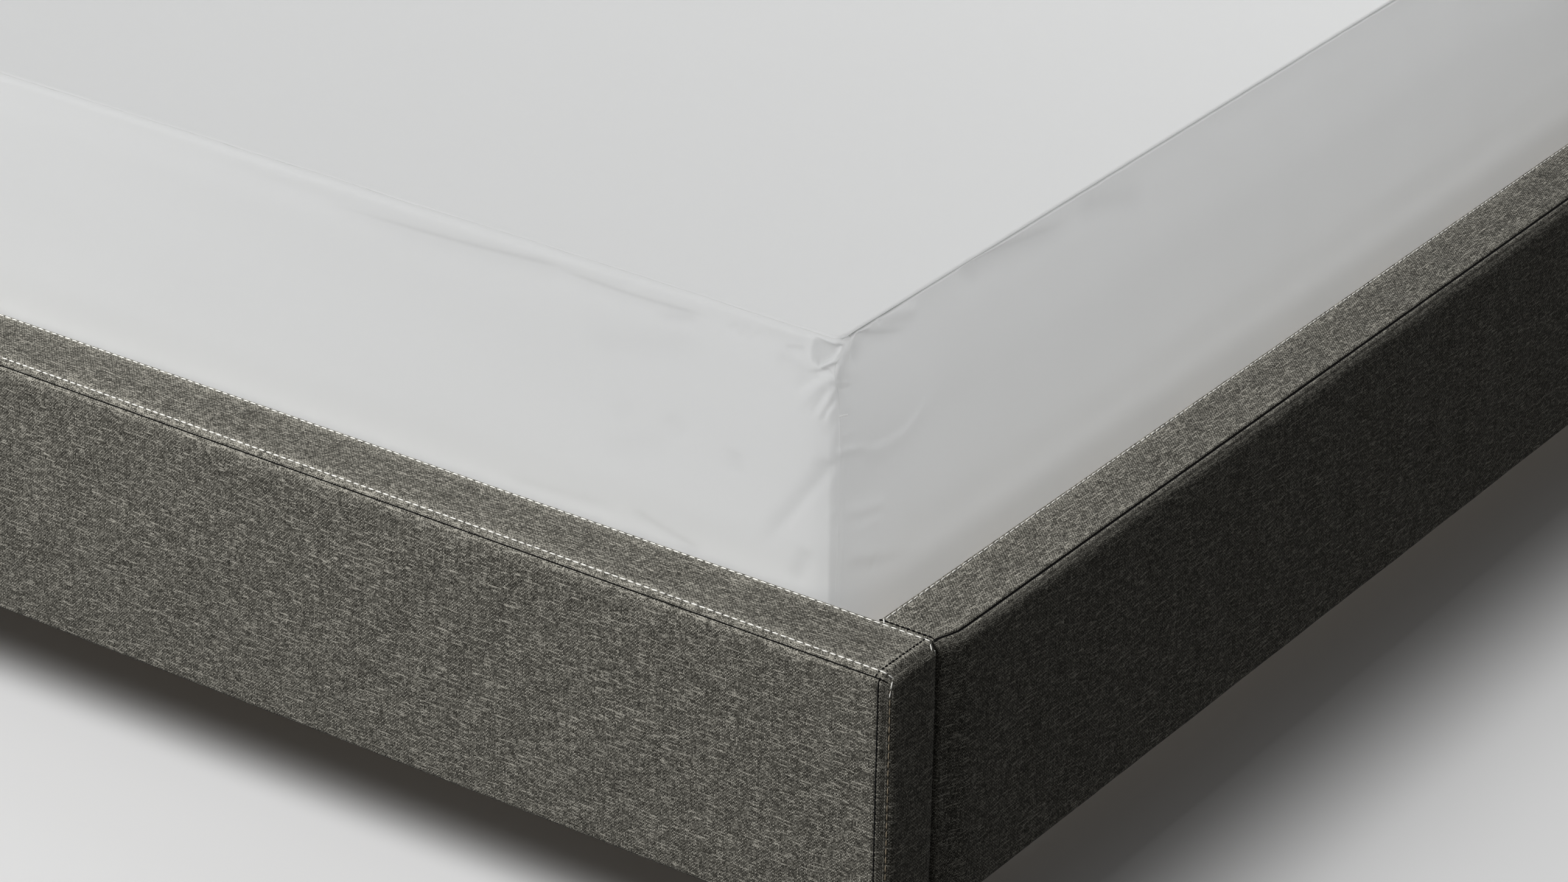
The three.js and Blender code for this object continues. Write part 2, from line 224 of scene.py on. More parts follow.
class NodeWriter:
    """Adds nodes to a tree and links them."""

    def __init__(self, tree: NodeTree) -> None:
        """Starts writing in a tree."""
        self.tree = tree

    def node(
        self, kind: str, inputs: Mapping[str | int, object] | None = None, **settings: object
    ) -> Node:
        """Adds a node.

        Args:
            kind: The node's type name.
            inputs: A socket to link or a plain value for each named or numbered input.
            settings: The node's own properties.

        Returns:
            The new node.
        """
        node = self.tree.nodes.new(kind)
        for name, value in settings.items():
            setattr(node, name, value)
        for name, value in (inputs or {}).items():
            if isinstance(value, NodeSocket):
                self.tree.links.new(value, node.inputs[name])
            else:
                node.inputs[name].default_value = value
        return node

    def math(self, operation: str, *values: object, clamp: bool = False) -> NodeSocket:
        """Adds a Math node, whose result stays from 0 to 1 if it is clamped."""
        inputs = dict(enumerate(values))
        return self.node("ShaderNodeMath", inputs, operation=operation, use_clamp=clamp).outputs[0]

    def ramp(self, value: NodeSocket, start: float, end: float) -> NodeSocket:
        """Adds a smooth Map Range node that goes from 0 at start to 1 at end."""
        node = self.node(
            "ShaderNodeMapRange",
            {"Value": value, "From Min": start, "From Max": end},
            interpolation_type="SMOOTHSTEP",
        )
        return node.outputs["Result"]

    def mix(self, share: object, first: object, second: object) -> NodeSocket:
        """Adds a colour Mix node, from first at share 0 to second at share 1."""
        node = self.node("ShaderNodeMix", {0: share, 6: first, 7: second}, data_type="RGBA")
        return node.outputs[2]

    def noise(
        self, vector: NodeSocket, scale: object, detail: float = 2.0, roughness: float = 0.5
    ) -> NodeSocket:
        """Adds a Noise Texture node, whose result is about 0.5 with both sides alike."""
        node = self.node(
            "ShaderNodeTexNoise",
            {"Vector": vector, "Scale": scale, "Detail": detail, "Roughness": roughness},
        )
        return node.outputs["Fac"]

    def vector(self, x: object, y: object, z: object = 0.0) -> NodeSocket:
        """Adds a Combine XYZ node."""
        return self.node("ShaderNodeCombineXYZ", {0: x, 1: y, 2: z}).outputs[0]

    def parts(self, vector: NodeSocket) -> tuple[NodeSocket, ...]:
        """Adds a Separate XYZ node and returns its three outputs."""
        return tuple(self.node("ShaderNodeSeparateXYZ", {0: vector}).outputs)

    def group(self, tree: NodeTree, inputs: Mapping[str, object]) -> Node:
        """Places a node group."""
        return self.node("ShaderNodeGroup", inputs, node_tree=tree)


class GroupWriter(NodeWriter):
    """Adds nodes to a new node group with named sockets."""

    def __init__(
        self,
        name: str,
        kind: str,
        inputs: Sequence[tuple[str, str, object]],
        outputs: Sequence[tuple[str, str]],
    ) -> None:
        """Makes the group with its sockets.

        Args:
            name: The group's name.
            kind: The type of tree.
            inputs: Name, socket type and default of each input.
            outputs: Name and socket type of each output.
        """
        super().__init__(bpy.data.node_groups.new(name, kind))
        face = self.tree.interface
        for socket_name, socket_type, default in inputs:
            socket = face.new_socket(socket_name, in_out="INPUT", socket_type=socket_type)
            if default is not None:
                socket.default_value = default
        for socket_name, socket_type in outputs:
            face.new_socket(socket_name, in_out="OUTPUT", socket_type=socket_type)
        self.taken = self.tree.nodes.new("NodeGroupInput").outputs
        self.given = self.tree.nodes.new("NodeGroupOutput").inputs

    def give(self, name: str, value: NodeSocket) -> None:
        """Links a result to one of the group's outputs."""
        self.tree.links.new(value, self.given[name])


FLOAT, VECTOR = "NodeSocketFloat", "NodeSocketVector"
GEOMETRY, INTEGER, MATERIAL = "NodeSocketGeometry", "NodeSocketInt", "NodeSocketMaterial"


class Effects:
    """The shader node groups that the materials share, each built once."""

    def __init__(self) -> None:
        """Builds the groups."""
        self.weave = self._weave()
        self.slubs = self._slubs()
        self.mottle = self._mottle()
        self.grain = self._grain()

    @staticmethod
    def _weave() -> NodeTree:
        """A plain weave of uneven yarns.

        Returns:
            A group that turns a flat place in metres into a tone and a height from 0 to 1.
        """
        w = GroupWriter(
            "Plain weave",
            "ShaderNodeTree",
            [("Place", VECTOR, None), ("Yarn", FLOAT, 0.001), ("Yarn length", FLOAT, 12.0)],
            [("Tone", FLOAT), ("Height", FLOAT)],
        )
        place, yarn, length = (w.taken[name] for name in ("Place", "Yarn", "Yarn length"))
        across, up, _ = w.parts(place)
        across, up = w.math("DIVIDE", across, yarn), w.math("DIVIDE", up, yarn)
        warp, weft = w.math("FLOOR", across), w.math("FLOOR", up)
        tones = []
        for number, run, shift, paler in ((warp, up, 3.7, -0.09), (weft, across, 41.3, 0.09)):
            stretched = w.math("DIVIDE", run, length)
            spread = w.math("MULTIPLY_ADD", number, 7.31, shift)
            tone = w.noise(w.vector(spread, stretched, shift), 1.0, 1.0)
            tones.append(w.math("ADD", tone, paler))
        parity = w.math("FLOORED_MODULO", w.math("ADD", warp, weft), 2.0)
        over = w.math("GREATER_THAN", parity, 0.5)
        rounds = [
            w.math("ABSOLUTE", w.math("SINE", w.math("MULTIPLY", run, math.pi)))
            for run in (across, up)
        ]
        for name, (lower, upper) in (("Tone", tones), ("Height", rounds)):
            shown = w.node("ShaderNodeMix", {0: over, 2: lower, 3: upper}, data_type="FLOAT")
            w.give(name, shown.outputs[0])
        return w.tree

    @staticmethod
    def _slubs() -> NodeTree:
        """Thick lighter places in the yarns that run each way.

        Returns:
            A group that turns a flat place in metres into a mask of the slubs.
        """
        w = GroupWriter(
            "Slubs",
            "ShaderNodeTree",
            [("Place", VECTOR, None), ("Length", FLOAT, 0.008), ("Width", FLOAT, 0.0011)],
            [("Along", FLOAT), ("Across", FLOAT)],
        )
        across, up, _ = w.parts(w.taken["Place"])
        length, width = w.taken["Length"], w.taken["Width"]
        for name, run, side in (("Along", across, up), ("Across", up, across)):
            long_way = w.math("DIVIDE", run, length)
            row = w.math("FLOOR", w.math("DIVIDE", side, width))
            spread = w.math("MULTIPLY", row, 5.17)
            noise = w.noise(w.vector(long_way, spread, 9.0), 1.0, 0.0)
            w.give(name, w.ramp(noise, 0.56, 0.78))
        return w.tree

    @staticmethod
    def _mottle() -> NodeTree:
        """Soft patches, with finer ones inside them.

        Returns:
            A group that turns a place in metres into a number about 0.
        """
        w = GroupWriter(
            "Mottle",
            "ShaderNodeTree",
            [("Place", VECTOR, None), ("Patch", FLOAT, 0.1)],
            [("Value", FLOAT)],
        )
        scale = w.math("DIVIDE", 1.0, w.taken["Patch"])
        noise = w.noise(w.taken["Place"], scale, 3.0, 0.55)
        w.give("Value", w.math("SUBTRACT", noise, 0.5))
        return w.tree

    @staticmethod
    def _grain() -> NodeTree:
        """Wood grain that runs along the first axis of its place.

        Returns:
            A group that turns a place in metres into a grain tone and fine pores.
        """
        w = GroupWriter(
            "Wood grain",
            "ShaderNodeTree",
            [("Place", VECTOR, None), ("Ring", FLOAT, 0.012)],
            [("Tone", FLOAT), ("Pores", FLOAT)],
        )
        along, side, up = w.parts(w.taken["Place"])
        slow = w.vector(w.math("MULTIPLY", along, 0.06), side, up)
        bend = w.noise(slow, 9.0, 3.0)
        radius = w.math("DIVIDE", side, w.taken["Ring"])
        rings = w.math("MULTIPLY_ADD", bend, 7.0, radius)
        wave = w.math("SINE", w.math("MULTIPLY", rings, 2.0 * math.pi))
        tone = w.math("MULTIPLY_ADD", wave, 0.35, 0.5)
        fine = w.vector(w.math("MULTIPLY", along, 0.03), side, up)
        w.give("Tone", tone)
        w.give("Pores", w.noise(fine, 900.0, 2.0))
        return w.tree


class Material:
    """A new material with its Principled shader, ready for its nodes."""

    def __init__(self, name: str, **plain: object) -> None:
        """Makes the material.

        Args:
            name: The material's name.
            plain: Values for the shader's own sockets, with underscores for spaces.
        """
        self.data = bpy.data.materials.new(name)
        self.data.use_nodes = True
        self.writer = NodeWriter(self.data.node_tree)
        self.shader = next(n for n in self.data.node_tree.nodes if n.type == "BSDF_PRINCIPLED")
        for key, value in plain.items():
            socket = key.replace("_", " ").title().replace("Ior", "IOR")
            self.shader.inputs[socket].default_value = value

    def feed(self, socket: str, value: NodeSocket) -> None:
        """Links a value to an input of the shader."""
        self.data.node_tree.links.new(value, self.shader.inputs[socket])

    def bump(self, *layers: tuple[NodeSocket, float, float]) -> None:
        """Stacks bumps and feeds them to the shader.

        Args:
            layers: The height, its depth in metres and its strength, the widest forms first.
        """
        normal = None
        for height, depth, strength in layers:
            inputs = {"Height": height, "Distance": depth, "Strength": strength}
            if normal is not None:
                inputs["Normal"] = normal
            normal = self.writer.node("ShaderNodeBump", inputs).outputs["Normal"]
        self.feed("Normal", normal)

    def object_place(self) -> NodeSocket:
        """The place of the shaded point, in metres."""
        return self.writer.node("ShaderNodeTexCoord").outputs["Object"]

    def cloth_place(self) -> NodeSocket:
        """The shaded point's place on the flat cloth, in metres."""
        return self.writer.node("ShaderNodeUVMap", uv_map="UVMap").outputs["UV"]

    def value_of(self, attribute: str) -> NodeSocket:
        """A number that the mesh holds for each vertex."""
        node = self.writer.node("ShaderNodeAttribute", attribute_name=attribute)
        return node.outputs["Fac"]


# ---- Finishes

# Painted shadow: near black for the dark line in the crease under the protector's piped seams.
PIPING_SHADOW_COLOUR = (0.03, 0.03, 0.03)
# Painted shade: near black for the grooves of the rails' seams.
GROOVE_SHADE_COLOUR = (0.002, 0.002, 0.002)


def rgba(colour: Colour, share: float = 1.0) -> tuple[float, ...]:
    """An opaque colour, darker or lighter by a share."""
    return (*(min(1.0, share * channel) for channel in colour), 1.0)


@dataclass(frozen=True)
class ClothFinish:
    """Smooth plain-woven cloth, with faint crumples, fine gathers along its seams, painted shade
    in its troughs and a painted shadow line under piped seams.
    """

    name: str
    colour: Colour
    yarn: float = 0.00036
    crumple: float = 0.0005
    gathers: float = 0.0004

    def build(self, effects: Effects) -> bpy.types.Material:
        """Makes the material.

        Args:
            effects: The shared shader groups.

        Returns:
            The material.
        """
        material = Material(
            self.name, sheen_weight=0.12, sheen_roughness=0.6, specular_ior_level=0.2
        )
        w, place = material.writer, material.cloth_place()
        weave = w.group(effects.weave, {"Place": place, "Yarn": self.yarn, "Yarn length": 30.0})
        wide = w.group(effects.mottle, {"Place": place, "Patch": 0.09}).outputs["Value"]
        close = w.group(effects.mottle, {"Place": place, "Patch": 0.014}).outputs["Value"]
        across, up, _ = w.parts(place)
        gathers = w.noise(w.vector(across, w.math("MULTIPLY", up, 0.22)), 150.0, 1.0)
        gathers = w.math("MULTIPLY", gathers, material.value_of("gather"))

        yarn_tone = w.math("MULTIPLY", w.math("SUBTRACT", weave.outputs["Tone"], 0.5), 0.10)
        shade = w.math("ADD", yarn_tone, w.math("MULTIPLY_ADD", wide, 0.05, 0.5), clamp=True)
        even = w.mix(shade, rgba(self.colour, 0.955), rgba(self.colour, 1.045))
        # Painted shade: the base colour darkens in the folds' troughs and pockets.
        shown = w.mix(material.value_of("painted_trough_shade"), even, rgba(self.colour, 0.82))
        # Painted shadow: the cloth is darkened along the crease under a piped seam.
        material.feed("Base Color", w.mix(material.value_of("line"), shown, rgba(PIPING_SHADOW_COLOUR)))
        material.feed("Roughness", w.math("MULTIPLY_ADD", close, 0.15, 0.86))
        material.bump(
            (wide, self.crumple, 0.5),
            (gathers, self.gathers, 1.0),
            (close, self.crumple * 0.16, 0.5),
            (weave.outputs["Height"], 0.00006, 0.35),
        )
        return material.data


@dataclass(frozen=True)
class TweedFinish:
    """Heathered upholstery cloth of dark and light yarns, gathered at its seams, with a painted
    highlight beside them and painted shade in their grooves.
    """

    name: str
    dark: Colour
    middle: Colour
    light: Colour
    yarn: float = 0.0015

    def build(self, effects: Effects) -> bpy.types.Material:
        """Makes the material.

        Args:
            effects: The shared shader groups.

        Returns:
            The material.
        """
        material = Material(
            self.name, sheen_weight=0.05, sheen_roughness=0.45, specular_ior_level=0.06
        )
        w, place, thin = material.writer, material.cloth_place(), self.yarn * 0.5
        weave = w.group(effects.weave, {"Place": place, "Yarn": self.yarn, "Yarn length": 2.2})
        fine = w.group(effects.weave, {"Place": place, "Yarn": thin, "Yarn length": 14.0})
        slubs = w.group(effects.slubs, {"Place": place, "Length": 0.012, "Width": thin})
        short = w.group(effects.slubs, {"Place": place, "Length": 0.005, "Width": self.yarn})
        wide = w.group(effects.mottle, {"Place": place, "Patch": 0.055}).outputs["Value"]
        seam = material.value_of("seam")

        pits = w.ramp(w.noise(place, 520.0, 0.0), 0.36, 0.24)
        tone = w.math("MULTIPLY_ADD", w.math("SUBTRACT", weave.outputs["Tone"], 0.5), 1.45, 0.23)
        tone = w.math("MULTIPLY_ADD", w.math("SUBTRACT", fine.outputs["Tone"], 0.5), 1.1, tone)
        tone = w.math("MULTIPLY_ADD", weave.outputs["Height"], 0.30, tone)
        tone = w.math("MULTIPLY_ADD", wide, 0.05, tone)
        tone = w.math("MULTIPLY_ADD", pits, -0.35, tone)
        tone = w.math("MULTIPLY_ADD", w.math("POWER", slubs.outputs["Along"], 1.5), 0.60, tone)
        pull = w.math("MULTIPLY_ADD", seam, 0.25, 0.08)
        tone = w.math("ADD", w.math("MULTIPLY", short.outputs["Across"], pull), tone)
        # Painted highlight: the tweed is made paler near the seams, where the gathers would catch
        # the light.
        tone = w.math("MULTIPLY_ADD", seam, 0.14, tone, clamp=True)
        low = w.mix(w.math("MULTIPLY", tone, 2.0, clamp=True), rgba(self.dark), rgba(self.middle))
        high = w.math("MULTIPLY_ADD", tone, 2.0, -1.0, clamp=True)
        shown = w.mix(high, low, rgba(self.light))
        # Painted shade: the tweed goes near black in the seams' grooves.
        material.feed("Base Color", w.mix(material.value_of("crease"), shown, rgba(GROOVE_SHADE_COLOUR)))
        material.feed("Roughness", w.math("MULTIPLY_ADD", tone, 0.08, 0.88))

        gathers = w.math("MULTIPLY", w.noise(place, 190.0, 1.0), seam)
        material.bump(
            (wide, 0.0012, 0.4),
            (gathers, 0.0006, 0.8),
            (slubs.outputs["Along"], 0.00025, 0.5),
            (weave.outputs["Height"], 0.00022, 0.7),
        )
        return material.data


@dataclass(frozen=True)
class ThreadFinish:
    """Twisted sewing thread."""

    name: str
    colour: Colour
    shade: float = 0.7
    sheen: float = 0.1

    def build(self, effects: Effects) -> bpy.types.Material:
        """Makes the material.

        Args:
            effects: The shared shader groups.

        Returns:
            The material.
        """
        material = Material(self.name, sheen_weight=self.sheen, specular_ior_level=0.1)
        w, place = material.writer, material.object_place()
        uneven = w.group(effects.mottle, {"Place": place, "Patch": 0.004}).outputs["Value"]
        x, y, z = w.parts(place)
        twist = w.math("SINE", w.math("MULTIPLY", w.math("ADD", w.math("ADD", x, y), z), 7000.0))
        shade = w.math("MULTIPLY_ADD", uneven, 1.2, 0.5, clamp=True)
        dark = rgba(self.colour, self.shade)
        material.feed("Base Color", w.mix(shade, dark, rgba(self.colour)))
        material.feed("Roughness", w.math("MULTIPLY_ADD", uneven, 0.2, 0.7))
        material.bump((twist, 0.0001, 0.5))
        return material.data


class GrainAxis(Enum):
    """The way that a piece of wood's grain runs."""

    ACROSS_BED = 0
    ALONG_BED = 1
    UPRIGHT = 2


@dataclass(frozen=True)
class WoodFinish:
    """Planed wood, bare or stained."""

    name: str
    early: Colour
    late: Colour
    axis: GrainAxis
    roughness: float = 0.6
    coat: float = 0.0

    def build(self, effects: Effects) -> bpy.types.Material:
        """Makes the material.

        Args:
            effects: The shared shader groups.

        Returns:
            The material.
        """
        material = Material(self.name, coat_weight=self.coat, coat_roughness=0.3)
        w = material.writer
        parts = w.parts(material.object_place())
        first = self.axis.value
        along, side, up = parts[first], parts[(first + 1) % 3], parts[(first + 2) % 3]
        place = w.vector(along, side, up)
        grain = w.group(effects.grain, {"Place": place, "Ring": 0.011})
        wide = w.group(effects.mottle, {"Place": place, "Patch": 0.3}).outputs["Value"]
        tone = w.math("MULTIPLY_ADD", wide, 0.6, grain.outputs["Tone"], clamp=True)
        pores = w.ramp(grain.outputs["Pores"], 0.55, 0.75)
        colour = w.mix(tone, rgba(self.early), rgba(self.late))
        pored = w.mix(w.math("MULTIPLY", pores, 0.4), colour, rgba(self.late, 0.6))
        material.feed("Base Color", pored)
        material.feed("Roughness", w.math("MULTIPLY_ADD", pores, 0.15, self.roughness))
        material.bump((grain.outputs["Tone"], 0.0002, 0.3), (pores, 0.0001, 0.4))
        return material.data


@dataclass(frozen=True)
class Finishes:
    """Every finish of the object, made once."""

    protector: bpy.types.Material
    ticking: bpy.types.Material
    tweed: bpy.types.Material
    tack_thread: bpy.types.Material
    white_thread: bpy.types.Material
    dull_thread: bpy.types.Material
    black_thread: bpy.types.Material
    slats: bpy.types.Material
    carriers: bpy.types.Material
    legs: bpy.types.Material

    @classmethod
    def build(cls) -> "Finishes":
        """Builds the materials.

        Returns:
            The set of them.
        """
        effects, wood = Effects(), {"early": (0.66, 0.50, 0.32), "late": (0.50, 0.35, 0.20)}
        stain = {"early": (0.022, 0.019, 0.017), "late": (0.012, 0.010, 0.009), "coat": 0.2}
        tweed = ((0.013, 0.012, 0.0095), (0.086, 0.082, 0.069), (0.35, 0.335, 0.29))
        finishes = {
            "protector": ClothFinish("protector cloth", (0.845, 0.852, 0.850)),
            "ticking": ClothFinish("mattress ticking", (0.78, 0.76, 0.72), yarn=0.0007),
            "tweed": TweedFinish("rail tweed", *tweed),
            "tack_thread": ThreadFinish("tack thread", (0.97, 0.97, 0.96), shade=0.95),
            "white_thread": ThreadFinish("white thread", (0.86, 0.85, 0.80)),
            # Painted shade: a darker copy of the white thread for the stitches down the rails'
            # ends.
            "dull_thread": ThreadFinish("dull thread", (0.30, 0.25, 0.18), sheen=0.0),
            "black_thread": ThreadFinish("black thread", (0.004, 0.004, 0.004), sheen=0.0),
            "slats": WoodFinish("slat wood", axis=GrainAxis.ACROSS_BED, **wood),
            "carriers": WoodFinish("carrier wood", axis=GrainAxis.ALONG_BED, **wood),
            "legs": WoodFinish("leg wood", axis=GrainAxis.UPRIGHT, roughness=0.45, **stain),
        }
        return cls(**{key: finish.build(effects) for key, finish in finishes.items()})


# ---- The protector's cloth

# How many straight runs a fold's curve is measured along.
FOLD_STEPS = 24


@dataclass(frozen=True)
class Fold:
    """A soft ridge, or a trough if its height is below 0, along a curve on the cloth.

    Measures are in millimetres. Someone who walks the curve on the outside of the cloth, with the
    top seam above them, has its left width on their left hand.
    """

    from_along: float
    from_drop: float
    by_along: float
    by_drop: float
    to_along: float
    to_drop: float
    left: float
    right: float
    height: float
    power: float = 2.0
    fade_in: float = 0.25
    fade_out: float = 0.25

    def relief(self, along: Array, drop: Array) -> Array:
        """How far the fold lifts the cloth.

        Args:
            along: Places along the cloth, in millimetres.
            drop: Places down the cloth, in millimetres.

        Returns:
            The lift at each place, in millimetres.
        """
        reach = 3.0 * max(self.left, self.right)
        start, bend = (self.from_along, self.from_drop), (self.by_along, self.by_drop)
        ends = np.array([start, bend, (self.to_along, self.to_drop)], dtype=float)
        low, high = ends.min(axis=0) - reach, ends.max(axis=0) + reach
        near = (along > low[0]) & (along < high[0]) & (drop > low[1]) & (drop < high[1])
        lift = np.zeros(along.shape)
        if not near.any():
            return lift
        place = np.stack([along[near], drop[near]], axis=-1)
        steps = np.linspace(0.0, 1.0, FOLD_STEPS + 1)[:, None]
        curve = (1 - steps) ** 2 * ends[0] + 2 * steps * (1 - steps) * ends[1] + steps**2 * ends[2]
        best = np.full(len(place), np.inf)
        walked, side = np.zeros(len(place)), np.zeros(len(place))
        for index in range(len(curve) - 1):
            start, run = curve[index], curve[index + 1] - curve[index]
            length = max(float(np.hypot(*run)), 1e-9)
            share = np.clip(((place - start) @ run) / length**2, 0.0, 1.0)
            offset = place - start - share[:, None] * run
            distance = np.hypot(offset[:, 0], offset[:, 1])
            closer = distance < best
            best = np.where(closer, distance, best)
            walked = np.where(closer, (index + share) / (len(curve) - 1), walked)
            turn = (run[0] * offset[:, 1] - run[1] * offset[:, 0]) / length
            side = np.where(closer, turn, side)
        spread = side / np.maximum(best, 1e-6)
        width = self.left + (self.right - self.left) * (0.5 + 0.5 * np.clip(spread, -1.0, 1.0))
        taper = np.ones(len(place))
        for from_end, fade in ((walked, self.fade_in), (1.0 - walked, self.fade_out)):
            if fade > 0:
                taper *= smooth_step(from_end, -0.02, fade)
        lift[near] = self.height * taper * bell(best, width, self.power)
        return lift


def folds(rows: Iterable[Sequence[float]]) -> tuple[Fold, ...]:
    """Makes folds from the rows of a table."""
    return tuple(Fold(*row) for row in rows)


@dataclass(frozen=True)
class Patch:
    """A raised area of the cloth, or a sunk one if its height is below 0, in a convex outline.

    The corners run clockwise as seen from outside. Each is its place along the cloth, its drop,
    and the distance over which the side that starts there rises.
    """

    height: float
    corners: tuple[tuple[float, float, float], ...]

    def relief(self, along: Array, drop: Array) -> Array:
        """How far the patch lifts the cloth, in millimetres."""
        rise = np.full(along.shape, self.height)
        following = self.corners[1:] + self.corners[:1]
        for (x, y, reach), (to_x, to_y, _) in zip(self.corners, following):
            run_x, run_y = to_x - x, to_y - y
            inside = (run_x * (drop - y) - run_y * (along - x)) / math.hypot(run_x, run_y)
            rise = rise * (1.0 - np.exp(-np.logaddexp(0.0, 4.0 * inside) / 4.0 / reach))
        return rise


# Each row: from and drop, by and drop, to and drop, left, right, height, power, fade in and out.
GATHERED_FOLDS = folds([
    # The band under the foot seam, and the troughs below it.
    (-745, 9, -440, 10, -150, 8, 8, 8, 1.1),
    (-560, 25, -370, 25, -277, 13, 3.5, 15, -1.5, 1.7, 0.35, 0.15),
    (-290, 17, -205, 23, -129, 17, 3.2, 9, -1.3, 1.7, 0.2, 0.2),
    (-184, 31, -160, 28, -142, 21, 4, 6, -0.7),
    (-227, 17, -217, 9, -207, 2, 3, 3, -0.5),
    (-216, 15, -210, 9, -203, 4, 3, 3, -0.4),
    (-112, 22, -106, 18, -101, 13, 3, 4, -0.5),
    (-103, 25, -95, 18, -88, 11, 3, 4, -0.5),
    (-95, 27, -85, 20, -76, 13, 3, 4, -0.45),
    (-82, 6, -55, 4, -30, 8, 6, 7, 1.0),
    (-54, 22, -42, 20, -31, 17, 3, 6, -0.9),
    (-64, 32, -45, 35, -25, 40, 7, 9, -0.8),
    # The edge above the pocket, the tongue with the fold that runs on from it, and its trough.
    (-34, 3.2, -12, 2.0, 1, 6.0, 1.3, 1.3, 1.0, 2.0, 0.3, 0.0),
    (17, -2, 8, 8, -1, 21, 8.0, 5.0, 4.8, 2.6, 0.0, 0.5),
    (5, 10, -2.5, 22, -4, 48, 6.0, 3.0, 2.8, 2.0, 0.5, 0.8),
    (-2, 17, -9, 22.5, -18, 29.3, 2.2, 2.2, 2.4, 2.0, 0.3, 0.15),
    (-8, 28.5, -14, 33, -33, 39, 5.5, 2.0, -1.8, 1.6, 0.15, 0.5),
    (25, 11, 20, 26, 9, 36, 7, 6, -1.0, 2.0, 0.3, 0.5),
    # Folds that slant off the corner seam.
    (-18, 37, -30, 45, -44, 60, 3.5, 7, -0.7, 2.0, 0.1, 0.4),
    (-5, 35, -20, 45, -44, 82, 4, 6, 0.8, 2.0, 0.1, 0.4),
    (-10, 47, -17, 58, -27, 78, 2.4, 2.8, -0.6, 1.8, 0.2, 0.25),
    (-4, 46, -10, 58, -21, 81, 2.0, 2.2, 0.6, 1.8, 0.05, 0.25),
    (-4, 55, -9, 64, -17, 82, 2.0, 2.2, -0.55, 1.8, 0.2, 0.25),
    (-5, 64, -8, 69, -12, 76, 1.8, 1.8, 0.4, 2.0, 0.1, 0.3),
    (-3, 73, -8, 83, -13, 95, 3.5, 4.5, -0.4),
    # The doubled strip of cloth beside the seam.
    (5, 49, 9, 60, 6, 73, 7, 6, 0.5, 2.4, 0.25, 0.25),
    (-3, 41, 8, 43, 18, 48, 1.6, 1.6, 0.3, 2.0, 0.0, 0.3),
    (-1, 47, 5, 48.5, 12, 49, 1.6, 1.6, -0.25, 2.0, 0.0, 0.3),
    (-28, 123, -14, 120, 0, 115, 3, 7, -0.4, 2.0, 0.3, 0.0),
    (-5, 115, -34, 158, -78, 218, 6, 8, -1.5, 1.8, 0.1, 0.3),
    # Soft dents lower down.
    (-173, 118, -165, 126, -154, 136, 12, 14, -0.5),
    (-100, 130, -101, 142, -99, 154, 9, 10, -0.8),
    (-245, 173, -205, 160, -165, 143, 12, 12, -0.4),
    (-232, 140, -220, 130, -206, 119, 10, 10, -0.35),
    (-268, 76, -210, 70, -122, 40, 14, 16, -0.5),
    (-358, 234, -300, 238, -222, 224, 6, 8, -0.7),
    (-215, 221, -170, 236, -134, 241, 4, 8, -1.1),
    (-13, 171, -6, 167, 2, 161, 3, 3, 0.35),
    (-5, 186, 0, 186, 5, 184, 3, 3, 0.3),
    (-45, 241, -30, 220, -27, 202, 8, 8, -1.1),
    # The side skirt beside the tongue and under its seam.
    (8, 7, 17, 18, 23, 37, 12, 4, -1.2, 2.0, 0.0, 0.35),
    (25, 2, 36, 4, 46, 8, 5, 5, 0.9),
    (57, 5, 90, 9, 115, 18, 7, 7, 1.5),
    (55, 0, 56, 5, 57, 10, 2.5, 2.5, -0.8, 2.0, 0.0, 0.3),
    (16, 0, 42, 17, 100, 31, 3.4, 8, -1.6, 1.8, 0.0, 0.4),
    (168, 0, 245, 14, 368, 28, 7, 17, -1.7, 2.0, 0.2, 0.3),
    (178, 3, 190, 12, 207, 28, 8, 8, -0.6),
    (355, 19, 410, 28, 480, 42, 12, 14, -1.2),
    (303, 0, 304, 4, 306, 9, 3, 3, -0.5, 2.0, 0.0, 0.4),
    (366, 0, 367, 6, 369, 12, 3, 3, -0.5, 2.0, 0.0, 0.4),
    (397, 1, 398, 9, 399, 20, 4.5, 4.5, 0.9, 2.0, 0.0, 0.4),
    (441, 1, 448, 9, 460, 19, 7, 7, 0.8, 2.0, 0.0, 0.4),
    # The side skirt lower down.
    (1, 93, 9, 91, 18, 89, 3, 3, 0.4),
    (2, 107, 16, 105, 36, 114, 4, 4, 0.9, 2.0, 0.0, 0.3),
    (26, 113, 98, 134, 124, 90, 4, 10, 1.1, 1.8, 0.15, 0.3),
    (85, 165, 96, 164, 109, 166, 6, 6, 0.35),
    (6, 166, 34, 171, 66, 176, 7, 5, 1.0),
    (12, 188, 36, 188, 62, 189, 6, 5, 0.5),
    (12, 209, 62, 228, 123, 238, 13, 6, 1.3, 1.7, 0.15, 0.35),
    (52, 223, 48, 230, 43, 238, 2.8, 4, -0.5, 2.0, 0.0, 0.4),
])

GATHERED_PATCHES = (
    # The pocket beside the corner, with its floor, and the small one under the panel's edge.
    Patch(-3.5, ((-24, 3.4, 2.2), (0, 6.2, 0.6), (-5, 16, 0.8), (-18.5, 29.5, 1.5),
                 (-26, 27, 3.5), (-28, 16, 3.5))),
    Patch(-1.5, ((-24, 3.4, 2.2), (0, 6.2, 0.6), (-5, 16, 0.8), (-18.5, 29.5, 3.0),
                 (-26, 27, 12.0), (-28, 16, 12.0))),
    Patch(-2.0, ((-2, 1.5, 0.6), (13, 0.5, 0.6), (13, 3.0, 0.6), (1, 4.5, 0.6))),
)

